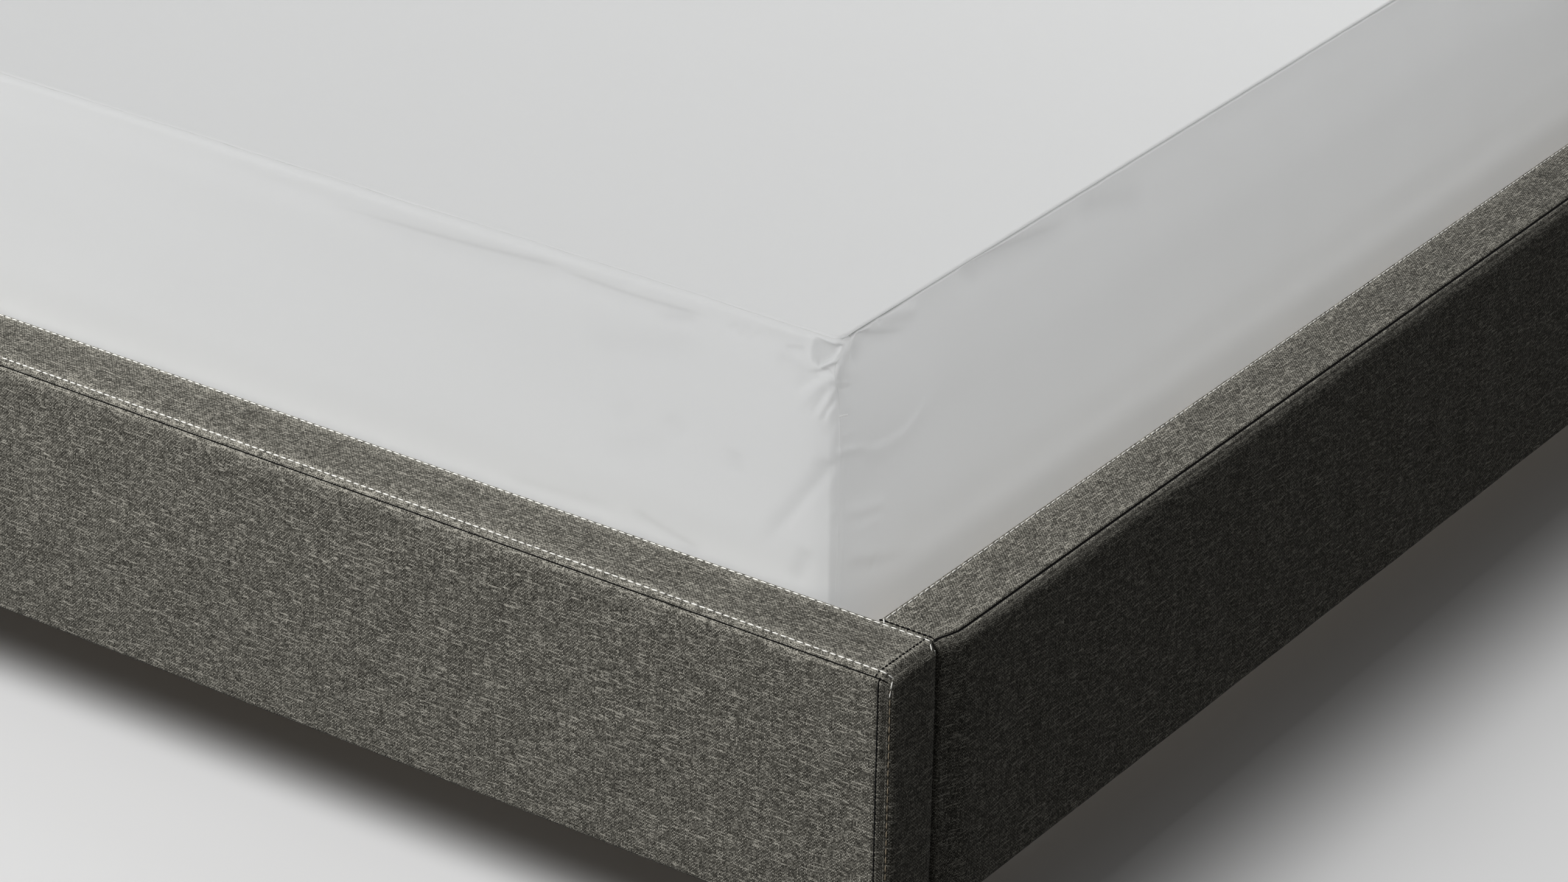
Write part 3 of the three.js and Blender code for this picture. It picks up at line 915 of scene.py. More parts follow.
PLAIN_FOLDS = folds([
    (-420, 9, -260, 10, -60, 8, 8, 8, 1.0),
    (-350, 22, -240, 28, -140, 17, 4, 13, -1.4, 1.7),
    (-120, 24, -100, 18, -80, 11, 4, 5, -0.6),
    (-5, 38, -22, 62, -50, 100, 7, 12, 1.8, 2.0, 0.1, 0.35),
    (-6, 50, -16, 66, -28, 88, 4, 4, -0.9),
    (-4, 114, -30, 150, -78, 208, 6, 8, -1.3, 1.8, 0.1, 0.3),
    (-2, 26, -12, 22, -26, 20, 6, 8, -1.2),
    (3, 104, 66, 130, 120, 98, 8, 6, 1.1, 1.8, 0.1, 0.3),
    (5, 40, 22, 60, 44, 92, 8, 6, 1.2),
    (14, 206, 76, 222, 150, 234, 4, 8, -1.0),
    (12, 8, 60, 22, 120, 30, 4, 10, -1.1),
    (120, 14, 220, 28, 330, 20, 6, 15, -1.4),
])


@dataclass(frozen=True)
class CornerStyle:
    """How the cloth gathers at one corner: its folds and the way that its seam runs."""

    folds: tuple[Fold | Patch, ...]
    seam: tuple[tuple[float, float], ...] = ((0.0, 0.0), (300.0, 0.0))
    droop: float = 0.0
    fine: bool = False

    def seam_along(self, drop: Array) -> Array:
        """Where the seam lies at a drop, in millimetres."""
        drops, places = zip(*self.seam)
        return np.interp(drop, drops, places)


GATHERED = CornerStyle(
    GATHERED_FOLDS + GATHERED_PATCHES,
    seam=((0, 15), (4, 10.5), (8, 6.5), (12, 2.5), (16, -0.8), (20, -3.4), (24, -4.6), (32, -4.8),
          (42, -3.9), (54, -2.2), (69, -0.6), (82, 0.4), (97, 1.3), (116, 2.2), (140, 2.5),
          (165, 2.8), (206, 3), (247, 2.5), (300, 0)),
    droop=1.0,
    fine=True,
)
PLAIN = CornerStyle(PLAIN_FOLDS)
# How far from a corner the small puckers along the top seam keep, in millimetres.
LAID_FOLDS_REACH, PLAIN_FOLDS_REACH = 480.0, 120.0


@dataclass(frozen=True)
class CoverSizes:
    """Sizes of the protector, in millimetres.

    The cloth's inner face lies stand_off from the mattress, and its outer face envelope further
    out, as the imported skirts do. It bellies out by slack from the drop slack_rise to slack_end.
    Below a piped edge it starts tuck further in, at the height tucked_top, and is back out at the
    drop tuck_reach. Within lean_fade of a corner the mesh follows the corner's seam.
    """

    corner_radius: float = 14.0
    edge_radius: float = 6.0
    stand_off: float = 0.8
    envelope: float = 1.5
    cloth: float = 0.7
    slack: float = 2.0
    slack_rise: float = 45.0
    slack_end: float = 239.0
    packed_seam_inset: float = 3.0
    turn_under: float = 60.0
    tightest_turn: float = 6.0
    seam_drop: float = 0.6
    seam_gap: float = 0.02
    height: float = 300.0
    lean_fade: float = 60.0
    tuck: float = 7.3
    tuck_reach: float = 110.0
    tucked_top: float = -1.9

    @property
    def arc_radius(self) -> float:
        """Radius of the cloth's inner face over the mattress's rounded edges."""
        return self.edge_radius + self.stand_off

    @property
    def first_angle(self) -> float:
        """How far the surface has turned from level where the drop is 0."""
        return math.asin((self.edge_radius - self.packed_seam_inset) / self.arc_radius)

    @property
    def upper_arc(self) -> float:
        """The drop at which the cloth hangs straight down."""
        return self.arc_radius * (math.pi / 2 - self.first_angle)

    @property
    def lower_arc_start(self) -> float:
        """The drop at which the cloth starts to turn under."""
        return self.upper_arc + self.height - 2 * self.edge_radius

    @property
    def hem_start(self) -> float:
        """The drop at which the cloth lies level below the mattress."""
        return self.lower_arc_start + self.arc_radius * math.pi / 2

    @property
    def depth(self) -> float:
        """The whole drop of a skirt."""
        return self.hem_start + self.turn_under

    @property
    def flat_top_start(self) -> float:
        """The drop, below 0, at which the top panel is level."""
        return -self.first_angle * self.arc_radius

    def section(self, drop: Array) -> tuple[Array, ...]:
        """The cloth's inner face in a section through the mattress's side.

        Args:
            drop: Places down the cloth.

        Returns:
            How far out of the mattress's side and how far above its top each place lies, and the
            surface's outward direction there, as its part outwards and its part upwards.
        """
        drop = np.asarray(drop, dtype=float)
        turned = np.clip(self.first_angle + drop / self.arc_radius, 0.0, math.pi / 2)
        under = np.clip((drop - self.lower_arc_start) / self.arc_radius, 0.0, math.pi / 2)
        below = drop > self.lower_arc_start
        angle = np.where(below, math.pi / 2 + under, turned)
        centre_up = np.where(below, self.edge_radius - self.height, -self.edge_radius)
        out = -self.edge_radius + self.arc_radius * np.sin(angle)
        up = centre_up + self.arc_radius * np.cos(angle)
        on_side = (drop > self.upper_arc) & ~below
        up = np.where(on_side, -self.edge_radius - (drop - self.upper_arc), up)
        out = out + np.minimum(0.0, drop - self.flat_top_start)
        out = out - np.maximum(0.0, drop - self.hem_start)
        return out, up, np.sin(angle), np.cos(angle)

    def tucked_section(self, drop: Array) -> tuple[Array, ...]:
        """The same as section, where the skirt starts tucked in below the panel's piped edge."""
        out, up, normal_out, normal_up = self.section(drop)
        upright = drop < self.lower_arc_start
        ends = [self.tucked_top, -self.edge_radius]
        steep = np.interp(drop, [self.seam_drop, self.upper_arc], ends)
        tucked = self.stand_off - self.tuck * (1.0 - smooth_step(drop, 0.0, self.tuck_reach))
        return (
            np.where(upright, tucked, out),
            np.where(drop < self.upper_arc, steep, up),
            np.where(upright, 1.0, normal_out),
            np.where(upright, 0.0, normal_up),
        )

    @staticmethod
    def piped_edge(inward: Array) -> tuple[Array, ...]:
        """The outer face of the panel's piped edge, laid out as section's results are.

        Args:
            inward: Distances from the seam over the panel.

        Returns:
            How far out and how far up each place lies, and the outward direction's two parts.
        """
        places = [0.0, 0.6, 1.1, 1.6, 2.4, 3.0, 3.5, 4.0, 4.6, 6.0]
        outs = [-5.6, -5.5, -5.3, -5.25, -5.2, -5.25, -5.45, -5.9, -6.6, -8.29]
        ups = [-1.9, -1.6, -1.2, -0.8, -0.1, 0.5, 1.05, 1.5, 1.75, 1.8]
        out = np.interp(inward, places, outs) - np.maximum(0.0, inward - places[-1])
        up = np.interp(inward, places, ups)
        before, after = np.maximum(inward - 0.3, 0.0), inward + 0.3
        run_out = np.interp(after, places, outs) - np.interp(before, places, outs)
        run_up = np.interp(after, places, ups) - np.interp(before, places, ups)
        run_out = np.where(inward > 5.5, -1.0, run_out)
        run_up = np.where(inward > 5.5, 0.0, run_up)
        length = np.hypot(run_out, run_up)
        return out, up, run_up / length, -run_out / length

    def envelope_at(self, drop: Array) -> Array:
        """Distance from the cloth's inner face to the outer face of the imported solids."""
        return self.envelope - 0.5 * (1.0 - smooth_step(drop, self.flat_top_start, 0.0))


class SoftRipples:
    """Wide, shallow unevenness of the cloth, always the same for one seed."""

    def __init__(self, seed: int, height: float, shortest: float, longest: float) -> None:
        """Draws the waves.

        Args:
            seed: Number that fixes the waves.
            height: Their height together, in millimetres.
            shortest: The shortest wavelength, in millimetres.
            longest: The longest one.
        """
        chance = np.random.default_rng(seed)
        count = 12
        lengths = np.exp(chance.uniform(math.log(shortest), math.log(longest), count))
        headings = chance.uniform(0, math.pi, count)
        self.waves = np.stack([np.cos(headings), np.sin(headings)], axis=-1) / lengths[:, None]
        self.phases = chance.uniform(0, 2 * math.pi, count)
        self.height = height / math.sqrt(count)

    def at(self, along: Array, drop: Array) -> Array:
        """The waves' height at places on the cloth, in millimetres."""
        total = np.zeros(np.broadcast(along, drop).shape)
        for (across, down), phase in zip(self.waves, self.phases):
            total += np.sin(2 * math.pi * (along * across + drop * down) + phase)
        return total * self.height


class EdgeStyle(Enum):
    """How the top panel turns into a skirt: rolled over softly, or piped with a sharp edge."""

    ROLLED = 0
    PIPED = 1


def blend(share: Array, first: Sequence[Array], second: Sequence[Array]) -> list[Array]:
    """Mixes two lists of arrays, from the first at share 0 to the second at share 1."""
    return [a + (b - a) * share for a, b in zip(first, second)]


@dataclass
class Skirt:
    """One skirt of the protector, laid out facing -Y and turned to its side of the mattress."""

    name: str
    half_length: float
    half_depth: float
    quarter_turns: int
    start: CornerStyle
    end: CornerStyle
    top: float
    edge: EdgeStyle
    sizes: CoverSizes
    seed: int

    def __post_init__(self) -> None:
        """Works out the straight part, the ripples and the small puckers along the seam."""
        self.half_straight = self.half_length - self.sizes.corner_radius
        self.reach = self.half_straight + self.sizes.corner_radius * math.pi / 4
        self.ripples = SoftRipples(self.seed, 0.55, 90.0, 420.0)
        self.wobble = SoftRipples(self.seed + 50, 0.35, 40.0, 260.0)
        chance = np.random.default_rng(self.seed + 100)
        self.puckers = []
        place = -self.reach + LAID_FOLDS_REACH
        while place < self.reach - (LAID_FOLDS_REACH if self.end.fine else PLAIN_FOLDS_REACH):
            tilt, depth = chance.uniform(-6, 6), chance.uniform(9, 24)
            width = chance.uniform(3.5, 8.0)
            height = chance.choice([-1, 1]) * chance.uniform(0.3, 0.8)
            ends = (place, 1, place + tilt / 2, depth / 2, place + tilt, depth)
            self.puckers.append(Fold(*ends, width, width, height, 2.0, 0.0, 0.5))
            place += chance.uniform(35.0, 110.0)

    def columns(self) -> Array:
        """Places along the skirt of the mesh's columns."""
        from_start, from_end = (self._spread(style) for style in (self.start, self.end))
        start, end = from_start - self.reach, (self.reach - from_end)[::-1]
        steps = max(2, round((end[0] - start[-1]) / 11.0))
        return np.concatenate([start, np.linspace(start[-1], end[0], steps + 1)[1:-1], end])

    @staticmethod
    def _spread(style: CornerStyle) -> Array:
        """Distances of the mesh's columns from one corner seam."""
        if not style.fine:
            return growing(0.8, 5.0, 170.0, 1.3)
        near = growing(0.4, 1.25, 62.0, 1.2)
        near = np.concatenate([near, near[-1] + growing(1.4, 2.4, 75.0, 1.04)[1:]])
        return np.concatenate([near, near[-1] + growing(2.4, 9.0, 350.0, 1.04)[1:]])

    def rows(self) -> Array:
        """Distances of the mesh's rows from the top seam."""
        fine = self.start.fine or self.end.fine
        edge = [0.0, 0.35, 0.8, 1.4, 2.2, 3.2, 4.4] if fine else [0.0, 0.6, 1.5, 3.0, 5.0]
        close, middle = (1.3, 3.2) if fine else (3.6, 6.0)
        s = self.sizes
        side_end = s.lower_arc_start - s.seam_drop
        upper = np.arange(edge[-1] + close, 105.0, close)
        lower = np.arange(upper[-1] + middle, 250.0, middle)
        last = np.linspace(lower[-1], side_end, 6)[1:]
        turned = np.linspace(side_end, s.hem_start - s.seam_drop, 6)[1:]
        hem = np.linspace(s.hem_start - s.seam_drop, s.depth - s.seam_drop, 6)[1:]
        return np.concatenate([edge, upper, lower, last, turned, hem])

    def _ends(self, along: Array) -> tuple[tuple[CornerStyle, Array], ...]:
        """Each end's corner, with the places as they are measured from its seam."""
        return (self.start, along + self.reach), (self.end, along - self.reach)

    def folded(self, along: Array, drop: Array) -> Array:
        """How far the folds at both ends lift the cloth, in millimetres."""
        lift = np.zeros(along.shape)
        for style, local in self._ends(along):
            for fold in style.folds:
                lift += fold.relief(local, drop)
        return lift

    def relief(self, along: Array, drop: Array, below_seam: Array) -> Array:
        """How far the cloth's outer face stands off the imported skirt's inner face.

        Args:
            along: Places along the skirt, from its middle.
            drop: Places down the cloth.
            below_seam: Distances from the top seam.

        Returns:
            The distances, in millimetres.
        """
        s = self.sizes
        fading = 1.0 - smooth_step(drop, s.slack_end - s.slack_rise, s.slack_end)
        lift = self.folded(along, drop) * smooth_step(below_seam, -0.5, 2.5)
        for style, local in self._ends(along):
            # The seam's fine ridge, then the cloth drawn in at the corner and wider below it.
            ridge = smooth_step(drop, 55.0, 85.0) * (1.0 - 0.75 * smooth_step(drop, 80.0, 130.0))
            lift += 0.55 * bell(local - style.seam_along(drop), 1.2) * ridge
            lift -= 5.0 * bell(local, 16.0) * smooth_step(drop, 20.0, 60.0)
            lift -= 5.5 * bell(local - 4.0, 40.0) * smooth_step(drop, 50.0, 170.0)
        for pucker in self.puckers:
            lift += pucker.relief(along, drop)
        inside = smooth_step(self.reach - np.abs(along), 0.0, 60.0)
        lift += self.ripples.at(along, drop) * inside * smooth_step(drop, 15.0, 60.0)
        lift = np.where(lift > 0, lift * fading, lift * (1.0 - smooth_step(drop, 255.0, 290.0)))
        lift += s.slack * smooth_step(drop, 0.0, s.slack_rise) * fading
        cornered = bell(self.reach - np.abs(along), 60.0, 4.0)
        lift = np.maximum(lift + s.envelope_at(drop), -1.6 - 10.0 * cornered)
        piped = self.piping(along)
        crease = (1.0 - piped) * 0.5 * bell(below_seam, 1.6)
        crease += (0.5 + 2.4 * self.creasing(along)) * piped * bell(below_seam, 1.3)
        return lift - crease

    def place(self, along: Array, drop: Array, lift: Array) -> tuple[Array, Array]:
        """Turns places on the cloth into places in the scene.

        Args:
            along: Places along the skirt, from its middle.
            drop: Places down the cloth.
            lift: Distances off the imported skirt's inner face.

        Returns:
            Points in metres and the surface's outward directions.
        """
        s = self.sizes
        piped = self.piping(along)
        out, up, normal_out, normal_up = blend(piped, s.section(drop), s.tucked_section(drop))
        size = np.hypot(normal_out, normal_up)
        normal_out, normal_up = normal_out / size, normal_up / size
        radius = np.maximum(s.corner_radius + out, s.tightest_turn)
        drawn_in = radius - s.corner_radius - out
        side, past = np.sign(along), np.maximum(0.0, np.abs(along) - self.half_straight)
        turned = side * past / s.corner_radius
        squeezed = along * (1 - drawn_in / self.half_straight)
        centre_x = np.where(past > 0, side * (self.half_straight - drawn_in), squeezed)
        centre_y = drawn_in + s.corner_radius - self.half_depth
        plan = np.stack([np.sin(turned), -np.cos(turned)], axis=-1)
        normal = np.concatenate([plan * normal_out[..., None], normal_up[..., None]], axis=-1)
        x, y = centre_x + radius * plan[..., 0], centre_y + radius * plan[..., 1]
        points = np.stack([x, y, self.top + up], axis=-1) + normal * lift[..., None]
        return self._turned(points) * MM, self._turned(normal)

    def _turned(self, vectors: Array) -> Array:
        """Turns vectors from the skirt's own layout to its side of the mattress."""
        angle = self.quarter_turns * math.pi / 2
        cos, sin = round(math.cos(angle)), round(math.sin(angle))
        turn = np.array([[cos, sin, 0.0], [-sin, cos, 0.0], [0.0, 0.0, 1.0]])
        return vectors @ turn

    def outer_points(self, along: Array, drop: Array, above: float = 0.0) -> Array:
        """Points on the finished outer face, or a little above it, in metres.

        Args:
            along: Places along the skirt, from its middle.
            drop: Places down the cloth.
            above: Distance above the face, in millimetres.

        Returns:
            The points.
        """
        lift = self.relief(along, drop, drop - self.sizes.seam_drop) + above
        return self.place(along, drop, lift)[0]

    def piping(self, along: Array) -> Array:
        """How far the top seam is piped, from 0 to 1."""
        after_start = smooth_step(along + self.reach, -5.0, 9.0)
        before_end = smooth_step(self.reach - along, -5.0, 9.0)
        if self.edge is EdgeStyle.PIPED:
            return np.minimum(after_start, before_end)
        before_start = smooth_step(-along - self.reach, -5.0, 9.0)
        return np.maximum(before_start, smooth_step(along - self.reach, -5.0, 9.0))

    def creasing(self, along: Array) -> Array:
        """How deep the crease under the piping is, from 0 near the corners to 1."""
        return smooth_step(self.reach - np.abs(along), 10.0, 22.0)

    def seam_drift(self, along: Array) -> Array:
        """How much further down than usual the top seam lies, in millimetres."""
        from_start, to_end = along + self.reach, self.reach - along
        free = smooth_step(from_start, 48.0, 130.0) * smooth_step(to_end, 48.0, 130.0)
        droop = self.start.droop * (1.0 - smooth_step(np.abs(from_start), 90.0, 170.0))
        droop = droop + self.end.droop * (1.0 - smooth_step(np.abs(to_end), 90.0, 170.0))
        rolled = 1.0 - self.piping(along)
        return rolled * droop + free * self.wobble.at(along, 0.0)

    def _leaned(self, along: Array, drop: Array) -> Array:
        """Moves the mesh's columns near a corner so that they follow the corner's seam."""
        fade = self.sizes.lean_fade
        near_start = np.maximum(0.0, 1.0 - (along + self.reach) / fade)
        near_end = np.maximum(0.0, 1.0 - (self.reach - along) / fade)
        half_gap = self.sizes.seam_gap / 2
        lean_start = (self.start.seam_along(drop) + half_gap) * near_start
        return along + lean_start + (self.end.seam_along(drop) - half_gap) * near_end

    def build(self) -> Object:
        """Makes the skirt's sheet.

        Returns:
            The sheet.
        """
        s = self.sizes
        columns, rows = self.columns(), self.rows()
        along, below = np.meshgrid(columns, rows)
        drop = s.seam_drop + below
        for _ in range(4):
            leaned = self._leaned(along, drop)
            drop = s.seam_drop + s.seam_gap + below
            drop = drop + self.seam_drift(leaned) * (1.0 - smooth_step(below, 0.0, 40.0))
        lift = self.relief(leaned, drop, below)
        outer, normal = self.place(leaned, drop, lift)
        inner = outer - normal * (s.cloth * MM)
        uv = np.stack([leaned + self.quarter_turns * 3000.0, drop], axis=-1) * MM
        gather = bell(below, 13.0) + 0.6 * bell(along + self.reach, 12.0)
        gather += 0.6 * bell(along - self.reach, 12.0)
        # Painted shade for the troughs and pockets, deeper where the folds sink the cloth further.
        painted_trough_shade = np.clip(-self.folded(leaned, drop) / 4.0, 0.0, 1.0)
        # Painted shadow along the crease under a piped seam, darker near the gathered corner.
        line = self.piping(leaned) * (1.0 - smooth_step(below, 0.7, 1.7))
        near_start = 1.0 - smooth_step(leaned + self.reach, 40.0, 260.0)
        line *= 0.24 + 0.26 * self.creasing(leaned) * near_start
        values = {"gather": np.clip(gather, 0.0, 1.0), "painted_trough_shade": painted_trough_shade, "line": line}
        return closed_sheet(self.name, outer, inner, uv, values)


@dataclass
class TopPanel:
    """The flat top panel, whose edge rolls over into the seams of the skirts."""

    half_width: float
    half_length: float
    top: float
    sizes: CoverSizes
    skirts: Sequence[Skirt]
    zone: float = 50.0

    def lines(self, half: float) -> Array:
        """Places of the mesh's lines from one side's seam to the other's."""
        edge = np.array([0, 0.4, 0.8, 1.3, 1.9, 2.5, 2.9, 3.3, 3.7, 4.1, 4.5, 5, 5.8, 7, 9, 12, 17,
                         25, 36, self.zone])
        steps = round(2 * (half - self.zone) / 15.0)
        middle = np.linspace(-half + self.zone, half - self.zone, steps + 1)[1:-1]
        return np.concatenate([edge - half, middle, (half - edge)[::-1]])

    def build(self) -> Object:
        """Makes the panel's sheet.

        Returns:
            The sheet.
        """
        s = self.sizes
        over_edge = s.seam_drop - s.flat_top_start - s.edge_radius
        reach_x, reach_y = self.half_width + over_edge, self.half_length + over_edge
        x, y = np.meshgrid(self.lines(reach_x), self.lines(reach_y))
        from_x, from_y = reach_x - np.abs(x), reach_y - np.abs(y)
        side_x, side_y = np.where(x < 0, -1.0, 1.0), np.where(y < 0, -1.0, 1.0)
        inward = np.minimum(from_x, from_y)
        in_corner = (from_x < self.zone) & (from_y < self.zone)
        on_x_side = from_x <= from_y

        # Along the ring that a point of the corner zone lies on, from the corner's middle.
        ring_out = s.section(s.seam_drop - inward)[0]
        share = np.clip(np.abs(from_x - from_y) / np.maximum(self.zone - inward, 1e-6), 0.0, 1.0)
        ring_radius = np.maximum(s.corner_radius + ring_out, 0.0)
        zone_inset = -float(s.section(s.seam_drop - self.zone)[0])
        quarter = ring_radius * math.pi / 4
        walked = share * (quarter + zone_inset + ring_out - ring_radius)
        turned = np.where(walked < quarter, walked / np.maximum(ring_radius, 1e-6), math.pi / 4)
        past = np.maximum(0.0, walked - quarter)
        along = np.where(in_corner, turned * s.corner_radius + past, 0.0)
        piped, drift, creased = self._seam(x, y, along, on_x_side, in_corner)

        drop = s.seam_drop - inward + drift * bell(inward, 20.0)
        rolled = s.section(drop)
        lift = s.envelope_at(drop) - 0.5 * bell(inward, 1.6)
        rolled = (rolled[0] + rolled[2] * lift, rolled[1] + rolled[3] * lift, rolled[2], rolled[3])
        edge = s.piped_edge(inward)
        edge = (edge[0] - 2.4 * creased * bell(inward, 0.8), *edge[1:])
        out, up, normal_out, normal_up = blend(piped, rolled, edge)
        size = np.hypot(normal_out, normal_up)
        normal_out, normal_up = normal_out / size, normal_up / size

        # In the corner zone each ring is a quarter turn and two straight runs. Elsewhere only the
        # nearer side's edge bends the cloth.
        curved = in_corner & (walked < quarter)
        lean = np.where(on_x_side, math.pi / 4 - turned, math.pi / 4 + turned)
        radius = np.where(ring_radius > 0, s.corner_radius + out, 0.0)
        centre = np.maximum(s.corner_radius, -ring_out)
        width, length = self.half_width, self.half_length
        run_x = np.where(curved, width - centre + radius * np.cos(lean), width + out)
        run_y = np.where(curved, length - centre + radius * np.sin(lean), length + out)
        straight = inward < self.zone
        far_x = np.where(in_corner, width - centre - past, np.abs(x))
        far_y = np.where(in_corner, length - centre - past, np.abs(y))
        place_x = np.where(curved | (on_x_side & straight), run_x, far_x) * side_x
        place_y = np.where(curved | (~on_x_side & straight), run_y, far_y) * side_y
        plan_x = np.where(curved, np.cos(lean), np.where(on_x_side, 1.0, 0.0)) * side_x
        plan_y = np.where(curved, np.sin(lean), np.where(on_x_side, 0.0, 1.0)) * side_y
        normal = np.stack([plan_x * normal_out, plan_y * normal_out, normal_up], axis=-1)
        outer = np.stack([place_x, place_y, self.top + up], axis=-1) * MM
        uv = np.stack([x, y], axis=-1) * MM
        gather = np.clip(0.5 * bell(inward, 9.0), 0.0, 1.0)
        return closed_sheet(
            "protector_top_cloth",
            outer[::-1],
            (outer - normal * s.cloth * MM)[::-1],
            uv[::-1],
            {"gather": gather[::-1], "painted_trough_shade": 0.0 * gather, "line": 0.0 * gather},
        )

    def _seam(
        self, x: Array, y: Array, along: Array, on_x_side: Array, in_corner: Array
    ) -> list[Array]:
        """How far the seam is piped, drifts and is creased, the same as on the skirts."""
        foot, right, head, left = self.skirts
        from_x_side = np.where(y < 0, along - right.reach, right.reach - along)
        from_y_side = np.where(x < 0, along - foot.reach, foot.reach - along)
        right_along = np.where(in_corner, from_x_side, y)
        foot_along = np.where(in_corner, from_y_side, x)
        placed = (
            (right, right_along), (left, -right_along), (foot, foot_along), (head, -foot_along)
        )
        results = []
        for measure in (Skirt.piping, Skirt.seam_drift, Skirt.creasing):
            on_right, on_left, on_foot, on_head = (measure(*each) for each in placed)
            sides, ends = np.where(x > 0, on_right, on_left), np.where(y < 0, on_foot, on_head)
            results.append(np.where(on_x_side, sides, ends))
        return results


@dataclass
class ProtectorCover:
    """The whole protector: its top panel, four skirts and the bar tack."""

    mattress: Box
    sizes: CoverSizes = field(default_factory=CoverSizes)
    first_seed: int = 11

    def build(self, finishes: Finishes) -> list[Object]:
        """Makes and dresses the cloth.

        Args:
            finishes: The materials.

        Returns:
            The sheets and the bar tack.
        """
        half_x, half_y = (self.mattress.size.x / 2 / MM, self.mattress.size.y / 2 / MM)
        top = self.mattress.high.z / MM
        layout = [
            ("foot", half_x, half_y, PLAIN, GATHERED, EdgeStyle.ROLLED),
            ("right", half_y, half_x, GATHERED, PLAIN, EdgeStyle.PIPED),
            ("head", half_x, half_y, PLAIN, PLAIN, EdgeStyle.ROLLED),
            ("left", half_y, half_x, PLAIN, PLAIN, EdgeStyle.PIPED),
        ]
        skirts = []
        for turns, (side, length, depth, start, end, edge) in enumerate(layout):
            name, seed = f"protector_{side}_cloth", self.first_seed + turns
            skirts.append(
                Skirt(name, length, depth, turns, start, end, top, edge, self.sizes, seed)
            )
        panel = TopPanel(half_x, half_y, top, self.sizes, skirts)
        tack = BarTack(skirts[1]).build(finishes)
        pieces = []
        for (side, *_), skirt in zip(layout, skirts):
            node = f"protector_skirt_{side}"
            sheet = dress(skirt.build(), finishes.protector, "protector_cloth", node)
            pieces.append(sheet)
        top_sheet = panel.build()
        dress(top_sheet, finishes.protector, "protector_cloth", "protector_top_panel")
        return [top_sheet, *pieces, tack]


def dress(piece: Object, material: bpy.types.Material, slot: str, *nodes: str) -> Object:
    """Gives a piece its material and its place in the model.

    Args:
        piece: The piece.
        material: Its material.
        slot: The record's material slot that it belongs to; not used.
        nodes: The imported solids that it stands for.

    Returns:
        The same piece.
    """
    piece.data.materials.clear()
    piece.data.materials.append(material)
    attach(piece, "root")
    if nodes:
        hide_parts(*nodes)
    triangles = sum(len(face.vertices) - 2 for face in piece.data.polygons)
    log.info("%s: %d triangles", piece.name, triangles)
    return piece


# ---- Pieces made with Geometry Nodes


def run_tree(tree: NodeTree, name: str, source: Object, values: Mapping[str, object]) -> Object:
    """Runs a geometry tree on a mesh and keeps the plain result.

    Args:
        tree: The tree.
        name: The finished object's name.
        source: The object whose mesh goes in, which is used up.
        values: The values of the tree's named inputs.

    Returns:
        The finished object.
    """
    modifier = source.modifiers.new("Nodes", "NODES")
    modifier.node_group = tree
    for item in tree.interface.items_tree:
        if item.item_type == "SOCKET" and item.in_out == "INPUT" and item.name in values:
            modifier[item.identifier] = values[item.name]
    seen = source.evaluated_get(bpy.context.evaluated_depsgraph_get())
    mesh = bpy.data.meshes.new_from_object(seen)
    source.modifiers.clear()
    bpy.data.objects.remove(source)
    mesh.name = name
    return linked(name, mesh)


def realized(writer: GroupWriter, made: Node, material: NodeSocket) -> NodeTree:
    """Ends a geometry tree by making its instances real and giving them their material.

    Args:
        writer: The tree's writer.
        made: The node whose first output is the geometry so far.
        material: The socket that holds the material.

    Returns:
        The tree.
    """
    real = writer.node("GeometryNodeRealizeInstances", {"Geometry": made.outputs[0]})
    inputs = {"Geometry": real.outputs[0], "Material": material}
    writer.give("Geometry", writer.node("GeometryNodeSetMaterial", inputs).outputs[0])
    return writer.tree


def stitch_tree() -> NodeTree:
    """Builds the tree that sews stitches along the edges of a mesh.

    Returns:
        The tree, with the path, the stitches' pitch and size, their thread and a seed as inputs.
    """
    w = GroupWriter(
        "Stitches",
        "GeometryNodeTree",
        [
            ("Path", GEOMETRY, None),
            ("Pitch", FLOAT, 0.0065),
            ("Stitch size", VECTOR, None),
            ("Thread", MATERIAL, None),
            ("Seed", INTEGER, 3),
        ],
        [("Geometry", GEOMETRY)],
    )
    curve = w.node("GeometryNodeMeshToCurve", {"Mesh": w.taken["Path"]})
    points = w.node(
        "GeometryNodeCurveToPoints",
        {"Curve": curve.outputs[0], "Length": w.taken["Pitch"]},
        mode="LENGTH",
    )
    turned = w.node(
        "FunctionNodeAlignRotationToVector", {"Vector": points.outputs["Tangent"]}, axis="X"
    )
    uneven = w.node(
        "FunctionNodeRandomValue",
        {0: (0.92, 0.85, 0.85), 1: (1.06, 1.1, 1.1), "Seed": w.taken["Seed"]},
        data_type="FLOAT_VECTOR",
    )
    scale = w.node(
        "ShaderNodeVectorMath",
        {0: w.taken["Stitch size"], 1: uneven.outputs[0]},
        operation="MULTIPLY",
    )
    bead = w.node("GeometryNodeMeshUVSphere", {"Segments": 6, "Rings": 5, "Radius": 0.5})
    placed = w.node(
        "GeometryNodeInstanceOnPoints",
        {
            "Points": points.outputs["Points"],
            "Instance": bead.outputs["Mesh"],
            "Rotation": turned.outputs[0],
            "Scale": scale.outputs[0],
        },
    )
    smooth = w.node("GeometryNodeSetShadeSmooth", {"Geometry": placed.outputs[0]})
    return realized(w, smooth, w.taken["Thread"])


